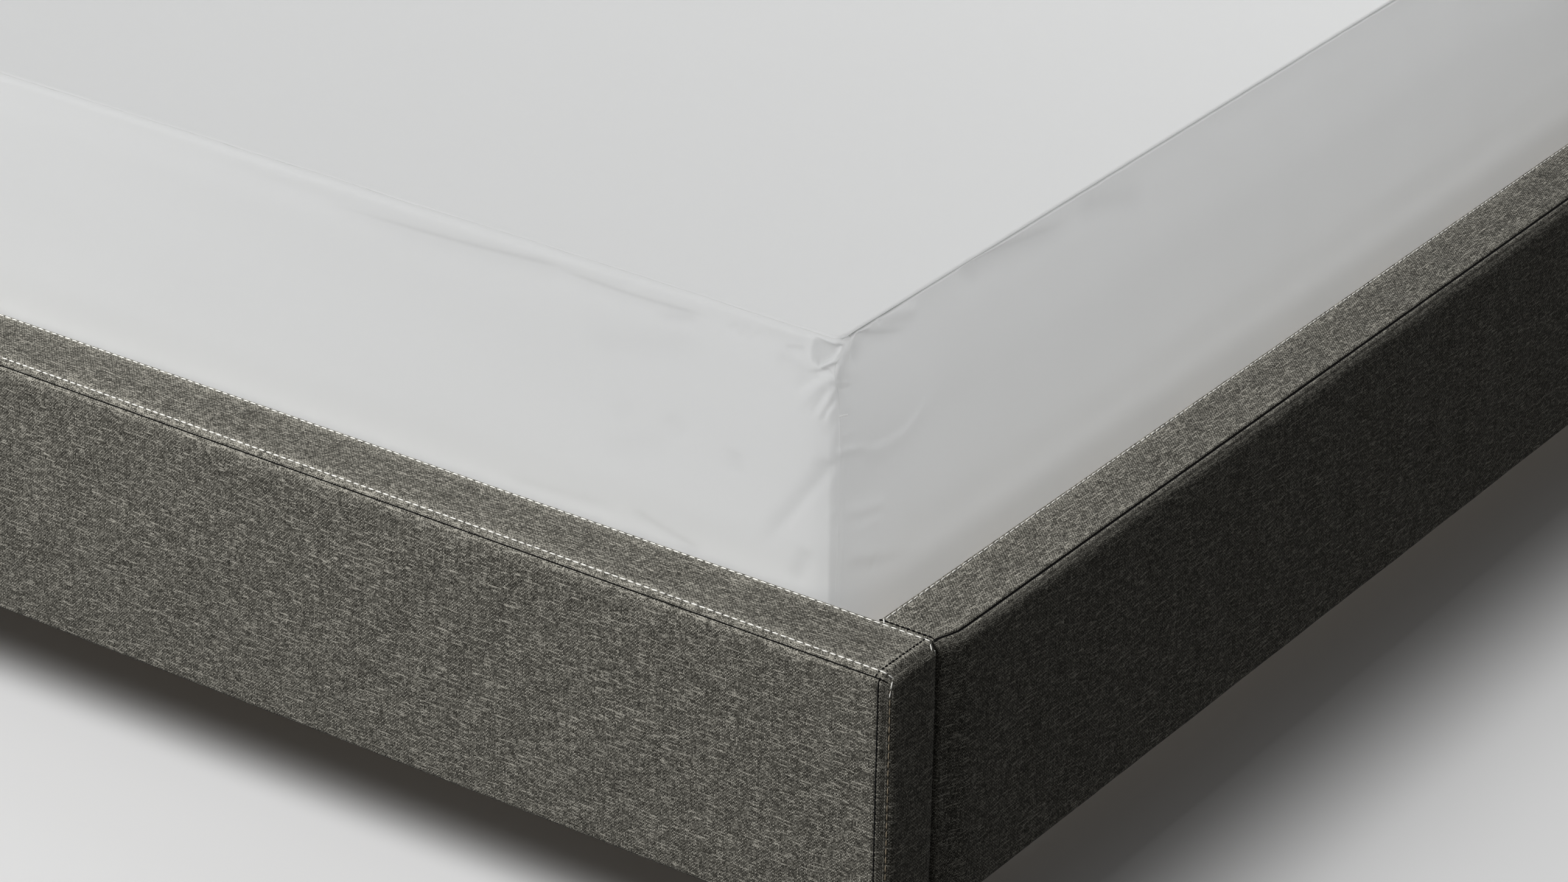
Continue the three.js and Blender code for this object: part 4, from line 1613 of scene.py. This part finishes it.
@dataclass(frozen=True)
class Stitching:
    """Stitches of one thread along some paths, sizes in millimetres."""

    name: str
    pitch: float
    length: float
    thickness: float

    def build(self, tree: NodeTree, paths: Sequence[Array], thread: bpy.types.Material) -> Object:
        """Sews the stitches.

        Args:
            tree: The tree from stitch_tree.
            paths: Points of each path, in metres.
            thread: The thread's material.

        Returns:
            All the stitches as one mesh.
        """
        points, edges, count = np.concatenate(paths), [], 0
        for path in paths:
            edges += [(count + i, count + i + 1) for i in range(len(path) - 1)]
            count += len(path)
        mesh = bpy.data.meshes.new(self.name + "_path")
        mesh.from_pydata(points.tolist(), edges, [])
        source = linked(self.name + "_path", mesh)
        size = tuple(x * MM for x in (self.length, self.thickness, self.thickness))
        values = {"Pitch": self.pitch * MM, "Stitch size": size, "Thread": thread, "Seed": 7}
        return run_tree(tree, self.name, source, values)


@dataclass(frozen=True)
class BarTack:
    """A short dense row of stitches beside the seam of the gathered corner."""

    skirt: Skirt
    start: tuple[float, float] = (0.1, 73.0)
    end: tuple[float, float] = (8.4, 73.4)
    turns: int = 29
    swing: float = 0.5
    seam_read_at: float = 70.0

    def build(self, finishes: Finishes) -> Object:
        """Makes the bar tack.

        Args:
            finishes: The materials.

        Returns:
            Its stitches.
        """
        steps = np.linspace(0.0, 1.0, self.turns)
        lean = float(self.skirt.start.seam_along(np.array(self.seam_read_at)))
        along = self.start[0] + (self.end[0] - self.start[0]) * steps + lean
        drop = self.start[1] + (self.end[1] - self.start[1]) * steps
        swing = self.swing * np.where(np.arange(self.turns) % 2 == 0, 1.0, -1.0)
        path = self.skirt.outer_points(along - self.skirt.reach, drop + swing, 0.15)
        sewing = Stitching("bar_tack", 0.35, 1.1, 0.7)
        tack = sewing.build(stitch_tree(), [path], finishes.tack_thread)
        return dress(tack, finishes.tack_thread, "protector_cloth")


# ---- Upholstered and padded blocks


# How roundly the edges of a block's end run into its long edges: 2 gives a ball's corner.
END_ROUNDING = 1.15
# Distances in millimetres: how far round a seam it is measured, and what counts as far from it.
SEAM_REACH, FAR = 25.0, 99.0


class Thread(Enum):
    """The threads of the rails, with the pitch, length and thickness of their stitches."""

    BLACK = (5.0, 4.0, 2.0)
    FINE = (5.0, 3.6, 1.5)
    WHITE = (8.3, 7.9, 1.5)
    # Painted shade: the white thread darkened, for the stitches down the rails' ends.
    SHADED_WHITE = (8.3, 7.7, 1.2)


@dataclass(frozen=True)
class Seam:
    """A sewn line over the faces of a block, as corners on the block before it is rounded.

    Sizes are in millimetres: the groove's depth and half width, and how far the painted shade in
    the groove reaches. Pull, from 0 to 1, is how much the stitches gather the cloth and pale it
    with painted highlight.
    """

    corners: tuple[tuple[float, float, float], ...]
    groove: float = 1.0
    width: float = 1.4
    thread: Thread | None = Thread.BLACK
    pull: float = 1.0
    dark: float = 0.0


@dataclass
class PaddedBlock:
    """A padded block with rounded edges, in millimetres.

    Its own axes are its length, outwards from the bed's middle, and up. They start at its middle.
    """

    name: str
    box: Box
    outward: Vector
    radii: Mapping[str, float]
    end_radii: tuple[float, float]
    crown: float
    spacing: float
    seams: Sequence[Seam] = ()
    ripple: float = 0.8
    seed: int = 5
    narrowing: float = 0.0
    narrowing_reach: float = 32.0

    def __post_init__(self) -> None:
        """Works out the axes and the half sizes."""
        up = Vector((0, 0, 1))
        axes = [self.outward.cross(up), self.outward, up]
        self.axes = np.array([list(axis) for axis in axes])
        self.half = np.abs(self.axes @ np.array(self.box.size)) / 2 / MM
        self.ripples = SoftRipples(self.seed, self.ripple, 45.0, 260.0)

    def rounded(self, place: Array) -> tuple[Array, Array]:
        """Rounds places on the square block.

        Args:
            place: Places on its faces, one row each.

        Returns:
            The places on the rounded block and the outward directions there.
        """
        length, out, up = place.T
        half_length, half_out, half_up = self.half
        end_radius = np.where(length < 0, *self.end_radii)
        inside = np.maximum(np.minimum(half_out - np.abs(out), half_up - np.abs(up)), 0.0)
        from_end = np.maximum(half_length - np.abs(length), 0.0)
        across = np.maximum(end_radius - inside, 0.0)
        endways = np.maximum(end_radius - from_end, 0.0)
        both = (across**END_ROUNDING + endways**END_ROUNDING) ** (1 / END_ROUNDING)
        bent = (across > 0) & (endways > 0)
        across = np.where(bent, across * end_radius / np.maximum(both, 1e-9), across)
        endways = np.where(bent, endways * end_radius / np.maximum(both, 1e-9), endways)
        new_inside = np.where(inside < end_radius, end_radius - across, inside)
        new_from_end = np.where(from_end < end_radius, end_radius - endways, from_end)
        side_out, side_up = half_out - new_inside, half_up - new_inside
        out = out * side_out / np.maximum(half_out - inside, 1e-6)
        up = up * side_up / np.maximum(half_up - inside, 1e-6)

        upper = np.where(out > 0, self.radii["outer_top"], self.radii["inner_top"])
        lower = np.where(out > 0, self.radii["outer_bottom"], self.radii["inner_bottom"])
        radius = np.maximum(np.where(up > 0, upper, lower) - new_inside, 0.02)
        core_out = np.clip(out, radius - side_out, side_out - radius)
        core_up = np.clip(up, radius - side_up, side_up - radius)
        span = np.maximum(np.hypot(out - core_out, up - core_up), 1e-9)
        normal_out, normal_up = (out - core_out) / span, (up - core_up) / span
        on_ring = new_inside < half_out * 0.5
        out = np.where(on_ring, core_out + normal_out * radius, out)
        up = np.where(on_ring, core_up + normal_up * radius, up)
        near_end = 1.0 - smooth_step(from_end, 0.0, self.narrowing_reach)
        out = out - self.narrowing * near_end * smooth_step(out, 0.0, half_out)
        end = np.sign(length)
        points = np.stack([end * (half_length - new_from_end), out, up], axis=-1)
        share, end_share = across / end_radius, endways / end_radius
        normal = np.stack([end * end_share, normal_out * share, normal_up * share], axis=-1)
        return points, normal / np.maximum(np.linalg.norm(normal, axis=-1, keepdims=True), 1e-9)

    def to_scene(self, points: Array) -> Array:
        """Turns the block's own places into places in the scene, in metres."""
        return (points * MM) @ self.axes + np.array(self.box.centre)

    def swell(self, place: Array) -> Array:
        """How far the padding stands out at places on the square block."""
        share = np.abs(place) / self.half
        face = share.argmax(axis=1)
        falls = np.sqrt(np.clip(1.0 - np.clip(share, 0, 1) ** 2, 0.0, 1.0))
        falls[np.arange(len(face)), face] = 1.0
        crown = self.crown * falls.prod(axis=1)
        shown = (place[:, 1] > -self.half[1] * 0.98) & (place[:, 2] > -self.half[2] * 0.98)
        return np.where(shown, crown, 0.0)

    def path(self, seam: Seam, step: float = 1.5) -> tuple[Array, Array]:
        """Points along a seam.

        Args:
            seam: The seam.
            step: Distance between the points.

        Returns:
            The points on the rounded block and the outward directions there.
        """
        corners = np.array(seam.corners, dtype=float)
        runs = []
        for start, end in zip(corners[:-1], corners[1:]):
            steps = max(2, int(np.linalg.norm(end - start) / step))
            runs.append(start + (end - start) * np.linspace(0, 1, steps, endpoint=False)[:, None])
        place = np.concatenate([*runs, corners[-1:]])
        points, normal = self.rounded(place)
        return points + normal * self.swell(place)[:, None], normal

    def lines(self, axis: int) -> Array:
        """Places of the mesh's lines across one of the block's axes."""
        half = float(self.half[axis])
        steps = max(2, round(2 * half / self.spacing))
        places = list(np.linspace(-half, half, steps + 1))
        rims = (self.end_radii, (self.radii["inner_top"], self.radii["outer_top"]),
                (self.radii["outer_bottom"], self.radii["outer_top"]))[axis]
        shares = (0.1, 0.22, 0.36, 0.52, 0.7, 0.86, 1.0)
        for side, reach in zip((-1, 1), rims):
            places += [side * (half - reach * share) for share in shares]
        offsets = np.array([-4.5, -2.8, -1.7, -0.9, -0.45, 0, 0.45, 0.9, 1.7, 2.8, 4.5])
        for seam in self.seams:
            corners = np.array(seam.corners)
            for start, end in zip(corners[:-1], corners[1:]):
                if abs(start[axis] - end[axis]) < 2.0:
                    places += list((start[axis] + end[axis]) / 2 + offsets)
        places = np.sort(np.clip(places, -half, half))
        kept = [places[0]]
        for place in places[1:]:
            if place - kept[-1] > 0.4:
                kept.append(place)
        kept[-1] = half
        return np.array(kept)

    def build(self) -> Object:
        """Makes the block.

        Returns:
            The block.
        """
        lines = [self.lines(axis) for axis in range(3)]
        places, faces, flats, count = [], [], [], 0
        for axis in range(3):
            first, second = (axis + 1) % 3, (axis + 2) % 3
            for side in (-1, 1):
                grid = np.zeros((len(lines[first]), len(lines[second]), 3))
                grid[..., axis] = side * self.half[axis]
                grid[..., first] = lines[first][:, None]
                grid[..., second] = lines[second][None, :]
                quads = grid_quads(*grid.shape[:2], count)
                quads = quads if side > 0 else quads[:, ::-1]
                flat = grid.reshape(-1, 3)
                wrapped = side * (self.half[0] + self.half[1] - flat[:, 1])
                sideways = flat[:, 0] if axis else wrapped
                upwards = flat[:, 2] - (flat[:, 1] if axis else 0.0)
                places.append(flat)
                faces.append(quads)
                flats.append(np.stack([sideways, upwards], axis=-1)[quads.ravel() - count])
                count += len(flat)
        place = np.concatenate(places)
        _, kept, number = np.unique(
            np.round(place, 4), axis=0, return_index=True, return_inverse=True
        )
        place, quads = place[kept], number.ravel()[np.concatenate(faces)]
        points, normal = self.rounded(place)
        swell = self.swell(place)
        points = points + normal * swell[:, None]
        lift = self.ripples.at(place[:, 0], place[:, 2] - place[:, 1])
        lift *= swell / self.crown if self.crown else 0.0
        pulled, creased = np.zeros(len(place)), np.zeros(len(place))
        for seam in self.seams:
            near = self._distance(points, self.path(seam)[0])
            lift = lift * (1 - bell(near, 8.0)) - seam.groove * bell(near, seam.width)
            pulled = np.maximum(pulled, seam.pull * (1.0 - smooth_step(near, 1.0, 13.0)))
            # Painted shade in the seams' grooves, as a mask that the tweed reads.
            if seam.dark:
                creased = np.maximum(creased, 1.0 - smooth_step(near, 0.5 * seam.dark, seam.dark))
        points = self.to_scene(points + normal * lift[:, None])
        values = {"seam": pulled, "crease": creased}
        return mesh_object(self.name, points, quads, np.concatenate(flats) * MM, values)

    @staticmethod
    def _distance(points: Array, path: Array) -> Array:
        """Distance from points to a path, or FAR where it isn't near."""
        tree = KDTree(len(path))
        for number, place in enumerate(path):
            tree.insert(place, number)
        tree.balance()
        low, high = path.min(axis=0) - SEAM_REACH, path.max(axis=0) + SEAM_REACH
        distance = np.full(len(points), FAR)
        chosen = np.nonzero(((points > low) & (points < high)).all(axis=1))[0]
        if not len(chosen):
            return distance
        nearest = np.array([tree.find(points[index])[1] for index in chosen])
        best = np.full(len(chosen), np.inf)
        for start in (np.maximum(nearest - 1, 0), np.minimum(nearest, len(path) - 2)):
            run, offset = path[start + 1] - path[start], points[chosen] - path[start]
            share = (offset * run).sum(axis=1) / np.maximum((run * run).sum(axis=1), 1e-12)
            offset = offset - run * np.clip(share, 0.0, 1.0)[:, None]
            best = np.minimum(best, np.linalg.norm(offset, axis=1))
        distance[chosen] = best
        return distance


@dataclass
class MattressBlock:
    """The mattress under the protector, a little smaller than the space that it fills."""

    box: Box
    slimmer: float = 11.0

    def build(self, finishes: Finishes) -> Object:
        """Makes and dresses the mattress.

        Args:
            finishes: The materials.

        Returns:
            The mattress.
        """
        less = Vector((self.slimmer, self.slimmer, 0.0)) * MM
        box = Box(self.box.low + less + Vector((0, 0, 0.0003)), self.box.high - less)
        radii = {"outer_top": 34.0, "inner_top": 34.0, "outer_bottom": 9.0, "inner_bottom": 9.0}
        east = Vector((1, 0, 0))
        block = PaddedBlock("mattress_block", box, east, radii, (45.0, 45.0), 0.0, 50.0)
        piece = dress(block.build(), finishes.ticking, "mattress_ticking", "mattress")
        return piece


@dataclass
class UpholsteredRail:
    """One of the bed's four padded rails, with its seams and rows of stitches.

    Its sizes are in millimetres. An inset is how far a seam keeps from the edge that it follows.
    """

    node: str
    outward: Vector
    across_bed: bool
    spacing: float
    crown: float = 1.8
    inner_inset: float = 4.5
    top_inset: float = 8.5
    end_inset: float = 5.0
    side_inset: float = 9.5
    joint_inset: float = 1.6
    crossing_inset: float = 15.0
    upright_inset: float = 11.0
    turn_down: float = 16.0

    def seams(self, half: Array) -> list[Seam]:
        """Lays out the rail's seams.

        Args:
            half: Half the rail's length, depth and height.

        Returns:
            The seams.
        """
        length, out, up = (float(x) for x in half)
        inner, outer = self.inner_inset - out, out - self.side_inset
        if not self.across_bed:
            piped = ((-length, outer, up), (length, outer, up))
            behind = ((-length, inner, up), (length, inner, up))
            ends = (self.joint_inset - length, length - self.joint_inset)
            joints = [((end, 1.0 - out, up), (end, out - 10.0, up)) for end in ends]
            return [
                Seam(piped, 1.2, 1.2, None, dark=1.5),
                Seam(behind, 0.4, 1.2, Thread.WHITE, 0.6),
                *(Seam(joint, 0.5, 1.2, pull=0.6, dark=0.7) for joint in joints),
            ]
        turn, on_end, on_top = up - self.turn_down, out - self.end_inset, out - self.top_inset
        front = ((-length, out, up - 1.5), (length, out, up - 1.5))
        hidden = ((-length, 0.6 - out, up), (length, 0.6 - out, up))
        result = [
            Seam(front, 1.2, 1.4, Thread.FINE, dark=0.9),
            Seam(self._hoop(length, on_end, on_top, turn, up), 0.5, 1.2, Thread.WHITE),
            Seam(self._hoop(length, inner, inner, turn, up), 0.5, 1.2, Thread.WHITE),
            Seam(hidden, 0.3, 1.2, None, 0.6, 0.8),
        ]
        for end in (-length, length):
            across = end - math.copysign(self.crossing_inset, end)
            result.append(Seam(((across, out - 2.0, up), (across, -out, up)), 0.6, 1.3))
            start = end - math.copysign(self.upright_inset, end)
            down = ((start, out, up - 2.0), (start, out, -up))
            result.append(Seam(down, 1.1, 1.4, Thread.FINE, 0.2, 0.9))
            # Stitches down the ends use the darkened, painted-shade copy of the white thread.
            for side in (on_end, inner):
                down = ((end, side, turn), (end, side, -up))
                result.append(Seam(down, 0.5, 1.2, Thread.SHADED_WHITE, 0.1))
        return result

    @staticmethod
    def _hoop(
        length: float, end_side: float, top_side: float, turn: float, up: float
    ) -> tuple[tuple[float, float, float], ...]:
        """A line over the top of the rail that turns a little way down both of its ends."""
        start, end = (-length, end_side, turn), (length, end_side, turn)
        return start, (-length, top_side, up), (length, top_side, up), end

    def build(self, finishes: Finishes) -> list[Object]:
        """Makes and dresses the rail.

        Args:
            finishes: The materials.

        Returns:
            The rail and its stitches.
        """
        end_radius, bulge = (11.0, 0.0) if self.across_bed else (2.0, 9.0)
        radii = {
            "outer_top": 9.0 + bulge, "inner_top": 3.0, "outer_bottom": 6.0, "inner_bottom": 3.0
        }
        box, outer = Box.of(self.node), self.outward * bulge * MM
        low = box.low + Vector(min(x, 0.0) for x in outer)
        high = box.high + Vector(max(x, 0.0) for x in outer)
        block = PaddedBlock(
            self.node + "_cover",
            Box(low, high),
            self.outward,
            radii,
            (end_radius, end_radius),
            self.crown,
            self.spacing,
            seed=sum(map(ord, self.node)),
            narrowing=bulge,
        )
        block.seams = self.seams(block.half)
        rail = dress(block.build(), finishes.tweed, "rail_tweed", self.node)
        pieces, tree = [rail], stitch_tree()
        for thread, finish in (
            (Thread.BLACK, finishes.black_thread),
            (Thread.FINE, finishes.black_thread),
            (Thread.WHITE, finishes.white_thread),
            (Thread.SHADED_WHITE, finishes.dull_thread),
        ):
            paths = []
            for seam in block.seams:
                if seam.thread is thread:
                    points, normal = block.path(seam)
                    above = 0.25 - seam.groove * 0.8
                    paths.append(block.to_scene(points + normal * above))
            if paths:
                name = f"{self.node}_{thread.name.lower()}_stitches"
                stitches = Stitching(name, *thread.value).build(tree, paths, finish)
                pieces.append(dress(stitches, finish, "rail_tweed"))
        return pieces


# ---- The slatted base and the legs


def planed_block(name: str, boxes: Sequence[Box], edge: float = 2.0) -> Object:
    """Makes square blocks with eased edges.

    Args:
        name: The object's name.
        boxes: The space that each block fills.
        edge: Width of the eased edges, in millimetres.

    Returns:
        The blocks as one mesh.
    """
    mesh, shape = bpy.data.meshes.new(name), bmesh.new()
    for box in boxes:
        made = bmesh.ops.create_cube(shape, size=1.0)["verts"]
        for vertex in made:
            vertex.co = Vector(a * b for a, b in zip(vertex.co, box.size)) + box.centre
    bmesh.ops.bevel(
        shape, geom=list(shape.edges), offset=edge * MM, segments=3, profile=0.5, affect="EDGES"
    )
    bmesh.ops.recalc_face_normals(shape, faces=list(shape.faces))
    shape.to_mesh(mesh)
    shape.free()
    mesh.shade_smooth()
    piece = linked(name, mesh)
    weighted = piece.modifiers.new("Flat faces", "WEIGHTED_NORMAL")
    weighted.keep_sharp = True
    return piece


def lathed(
    name: str, profile: Sequence[tuple[float, float]], centre: Vector, turns: int = 40
) -> Object:
    """Turns a profile about an upright axis.

    Args:
        name: The object's name.
        profile: Radius and height of each point, from the bottom up, in metres.
        centre: Where the axis stands.
        turns: How many sides the result has.

    Returns:
        The turned piece.
    """
    angles = np.linspace(0, 2 * math.pi, turns, endpoint=False)
    rings = []
    for radius, height in profile:
        x, y = centre.x + radius * np.cos(angles), centre.y + radius * np.sin(angles)
        rings.append(np.stack([x, y, np.full(turns, height)], -1))
    faces, last = [], (len(profile) - 1) * turns
    for below in range(0, last, turns):
        for side in range(turns):
            after, above = (side + 1) % turns, below + turns
            faces.append((below + side, below + after, above + after, above + side))
    faces.append(tuple(range(turns))[::-1])
    faces.append(tuple(range(last, last + turns)))
    return mesh_object(name, np.concatenate(rings), faces)


@dataclass
class SlattedBase:
    """The slats, and the ledgers and beam that carry them."""

    slat_nodes: Sequence[str]
    ledgers: Sequence[str] = ("ledger_left", "ledger_right")
    beam: str = "centre_beam"

    @staticmethod
    def _slat_tree() -> NodeTree:
        """Builds the tree that lays copies of a slat along the bed."""
        w = GroupWriter(
            "Slats",
            "GeometryNodeTree",
            [
                ("Slat", GEOMETRY, None),
                ("Count", INTEGER, 12),
                ("Step", VECTOR, None),
                ("Wood", MATERIAL, None),
            ],
            [("Geometry", GEOMETRY)],
        )
        spread = {"Count": w.taken["Count"], "Offset": w.taken["Step"]}
        row = w.node("GeometryNodeMeshLine", spread)
        laid = w.node(
            "GeometryNodeInstanceOnPoints",
            {"Points": row.outputs[0], "Instance": w.taken["Slat"]},
        )
        return realized(w, laid, w.taken["Wood"])

    def build(self, finishes: Finishes) -> list[Object]:
        """Makes and dresses the base.

        Args:
            finishes: The materials.

        Returns:
            The slats, ledgers and beam.
        """
        boxes = [Box.of(node) for node in self.slat_nodes]
        source = planed_block("slat_pattern", boxes[:1])
        source.modifiers.clear()
        step = (boxes[-1].centre - boxes[0].centre) / (len(boxes) - 1)
        values = {"Count": len(boxes), "Step": tuple(step), "Wood": finishes.slats}
        slats = run_tree(self._slat_tree(), "slats", source, values)
        pieces = [dress(slats, finishes.slats, "slat_wood", *self.slat_nodes)]
        for node in (*self.ledgers, self.beam):
            piece = planed_block(node + "_wood", [Box.of(node)])
            pieces.append(dress(piece, finishes.carriers, "slat_wood", node))
        return pieces


@dataclass
class Legs:
    """The four square corner legs and the two round ones under the beam."""

    corner_nodes: Sequence[str]
    centre_nodes: Sequence[str]

    def build(self, finishes: Finishes) -> list[Object]:
        """Makes and dresses the legs.

        Args:
            finishes: The materials.

        Returns:
            The legs.
        """
        pieces = []
        for node in self.corner_nodes:
            piece = planed_block(node + "_wood", [Box.of(node)], edge=3.0)
            pieces.append(dress(piece, finishes.legs, "leg_wood", node))
        for node in self.centre_nodes:
            box = Box.of(node)
            radius, low, high = box.size.x / 2, box.low.z, box.high.z
            profile = [
                (radius * 0.72, low), (radius * 0.78, low + 0.0015), (radius * 0.8, low + 0.006),
                (radius * 0.98, high - 0.012), (radius, high - 0.008), (radius, high - 0.0008),
                (radius - 0.0008, high),
            ]
            piece = lathed(node + "_wood", profile, box.centre)
            pieces.append(dress(piece, finishes.legs, "leg_wood", node))
        return pieces


# ---- Floor, lights and camera


class Lit(Enum):
    """The groups of pieces that a lamp may be kept to, with the names of their collections."""

    CLOTH = "lit_cloth"
    RAILS = "lit_rails"
    BED = "lit_bed"
    ROOM = "lit_room"


@dataclass(frozen=True)
class SoftLight:
    """A large square lamp that faces the bed's foot corner."""

    name: str
    towards: tuple[float, float, float]
    brightness: float
    size: float = 2.6
    distance: float = 5.0
    only: Lit | None = None
    blocked_by: Lit | None = None

    def build(self, aim: Vector, groups: Mapping[Lit, Collection]) -> None:
        """Hangs the lamp.

        Args:
            aim: The point that it faces.
            groups: The collection of each group of pieces.
        """
        data = bpy.data.lights.new(self.name, "AREA")
        data.shape = "SQUARE"
        data.size = self.size
        data.energy = self.brightness * math.pi**2 * self.distance**2
        lamp = linked(self.name, data)
        direction = Vector(self.towards).normalized()
        lamp.location = aim + direction * self.distance
        lamp.rotation_euler = direction.to_track_quat("Z", "Y").to_euler()
        lamp.visible_camera = False
        if self.only:
            lamp.light_linking.receiver_collection = groups[self.only]
        if self.blocked_by:
            lamp.light_linking.blocker_collection = groups[self.blocked_by]


CLOTH = {"only": Lit.CLOTH, "blocked_by": Lit.CLOTH}
RAILS = {"only": Lit.RAILS, "blocked_by": Lit.RAILS}


@dataclass
class Studio:
    """Plain floor, soft lights and the camera."""

    corner: Vector
    cloth: Sequence[Object]
    rails: Sequence[Object]
    wood: Sequence[Object]
    lens: float = 116.55
    heading: float = math.radians(34.7)
    dip: float = math.radians(26.92)
    roll: float = math.radians(0.95)
    camera_stand: tuple[float, float, float] = (2.050, -3.103, 2.054)
    floor_reach: float = 24.0
    lights: tuple[SoftLight, ...] = (
        SoftLight("cloth_front_left", (-0.68, -0.70, 0.21), 0.385, **CLOTH),
        SoftLight("cloth_front", (-0.25, -0.94, 0.21), 0.150, **CLOTH),
        SoftLight("cloth_front_right", (0.69, -0.69, 0.21), 0.166, **CLOTH),
        SoftLight("cloth_right", (0.94, -0.25, 0.21), 0.085, **CLOTH),
        SoftLight("cloth_right_low", (0.94, -0.25, 0.21), 0.085, only=Lit.CLOTH),
        SoftLight("cloth_right_back", (0.72, 0.40, 0.56), 0.228, **CLOTH),
        SoftLight("cloth_high_front", (-0.44, -0.63, 0.64), 0.089, **CLOTH),
        SoftLight("cloth_high_back", (0.18, 0.68, 0.71), 0.106, **CLOTH),
        SoftLight("cloth_high_left", (-0.52, 0.41, 0.74), 0.168, **CLOTH),
        SoftLight("rails_key", (-0.43, -0.59, 0.68), 1.52, **RAILS),
        SoftLight("room_key", (-0.30, -0.42, 0.86), 0.95, 9.0, 16.0, only=Lit.ROOM),
        SoftLight("back_light", (-0.20, 0.93, 0.30), 0.40, only=Lit.BED),
    )

    def build(self) -> None:
        """Sets up the studio."""
        floor = self._floor()
        members = {
            Lit.CLOTH: self.cloth,
            Lit.RAILS: self.rails,
            Lit.BED: [*self.cloth, *self.rails],
            Lit.ROOM: [*self.wood, floor],
        }
        groups = {lit: self._group(lit.value, pieces) for lit, pieces in members.items()}
        for light in self.lights:
            light.build(self.corner, groups)
        self._world()
        self._camera()
        bpy.context.scene.view_settings.view_transform = "Standard"

    @staticmethod
    def _group(name: str, pieces: Sequence[Object]) -> Collection:
        """Collects pieces that a lamp is kept to."""
        group = bpy.data.collections.new(name)
        for piece in pieces:
            group.objects.link(piece)
        return group

    def _floor(self) -> Object:
        """Lays the floor."""
        points = self.floor_reach * np.array([[-1, -1, 0], [1, -1, 0], [1, 1, 0], [-1, 1, 0]])
        floor = mesh_object("floor", points, [(0, 1, 2, 3)])
        material = Material("pale floor", roughness=0.7, specular_ior_level=0.2)
        writer = material.writer
        uneven = writer.noise(material.object_place(), 1.3, 2.0)
        greys = (rgba((0.80, 0.80, 0.80)), rgba((0.86, 0.86, 0.86)))
        material.feed("Base Color", writer.mix(uneven, *greys))
        floor.data.materials.append(material.data)
        floor.visible_diffuse = False
        return floor

    @staticmethod
    def _world() -> None:
        """Makes a dim even sky that looks pale to the camera."""
        world = bpy.data.worlds.new("studio")
        world.use_nodes = True
        writer = NodeWriter(world.node_tree)
        background = next(n for n in world.node_tree.nodes if n.type == "BACKGROUND")
        seen = writer.node("ShaderNodeLightPath").outputs["Is Camera Ray"]
        strength = writer.math("MULTIPLY_ADD", seen, 0.62, 0.12)
        world.node_tree.links.new(strength, background.inputs["Strength"])
        background.inputs["Color"].default_value = (1, 1, 1, 1)
        bpy.context.scene.world = world

    def _camera(self) -> None:
        """Places the camera."""
        data = bpy.data.cameras.new("camera")
        data.sensor_width, data.lens = 36.0, self.lens
        data.clip_start, data.clip_end = 0.05, 60.0
        camera = linked("camera", data)
        turn, dip, roll = self.heading, self.dip, self.roll
        level = math.cos(dip)
        forward = Vector((-math.sin(turn) * level, math.cos(turn) * level, -math.sin(dip)))
        right = forward.cross(Vector((0, 0, 1))).normalized()
        up = right.cross(forward)
        rolled = math.cos(roll) * right + math.sin(roll) * up
        upright = -math.sin(roll) * right + math.cos(roll) * up
        place = self.corner + Vector(self.camera_stand)
        camera.matrix_world = Matrix(
            [(*row, at) for row, at in zip(zip(rolled, upright, -forward), place)] + [(0, 0, 0, 1)]
        )
        bpy.context.scene.camera = camera


def main() -> None:
    """Builds the bed with its protector, then the studio."""
    logging.basicConfig(level=logging.INFO, format="%(message)s")
    finishes = Finishes.build()
    mattress = Box.of("mattress")
    cloth = ProtectorCover(mattress).build(finishes)
    cloth.append(MattressBlock(mattress).build(finishes))
    padded = [
        UpholsteredRail("foot_rail", Vector((0, -1, 0)), True, 8.5),
        UpholsteredRail("side_rail_right", Vector((1, 0, 0)), False, 9.0),
        UpholsteredRail("head_rail", Vector((0, 1, 0)), True, 14.0),
        UpholsteredRail("side_rail_left", Vector((-1, 0, 0)), False, 14.0),
    ]
    rails = [piece for rail in padded for piece in rail.build(finishes)]
    wood = SlattedBase([f"slat_{number}" for number in range(1, 13)]).build(finishes)
    corners = [f"leg_{end}_{hand}" for end in ("foot", "head") for hand in ("left", "right")]
    wood += Legs(corners, ["centre_leg_foot", "centre_leg_head"]).build(finishes)
    rail_top = Box.of("foot_rail").high
    corner = Vector((Box.of("side_rail_right").low.x, Box.of("foot_rail").high.y, rail_top.z))
    Studio(corner, cloth, rails, wood).build()
    log.info("%d pieces", len(cloth) + len(rails) + len(wood))


if __name__ == "__main__":
    main()
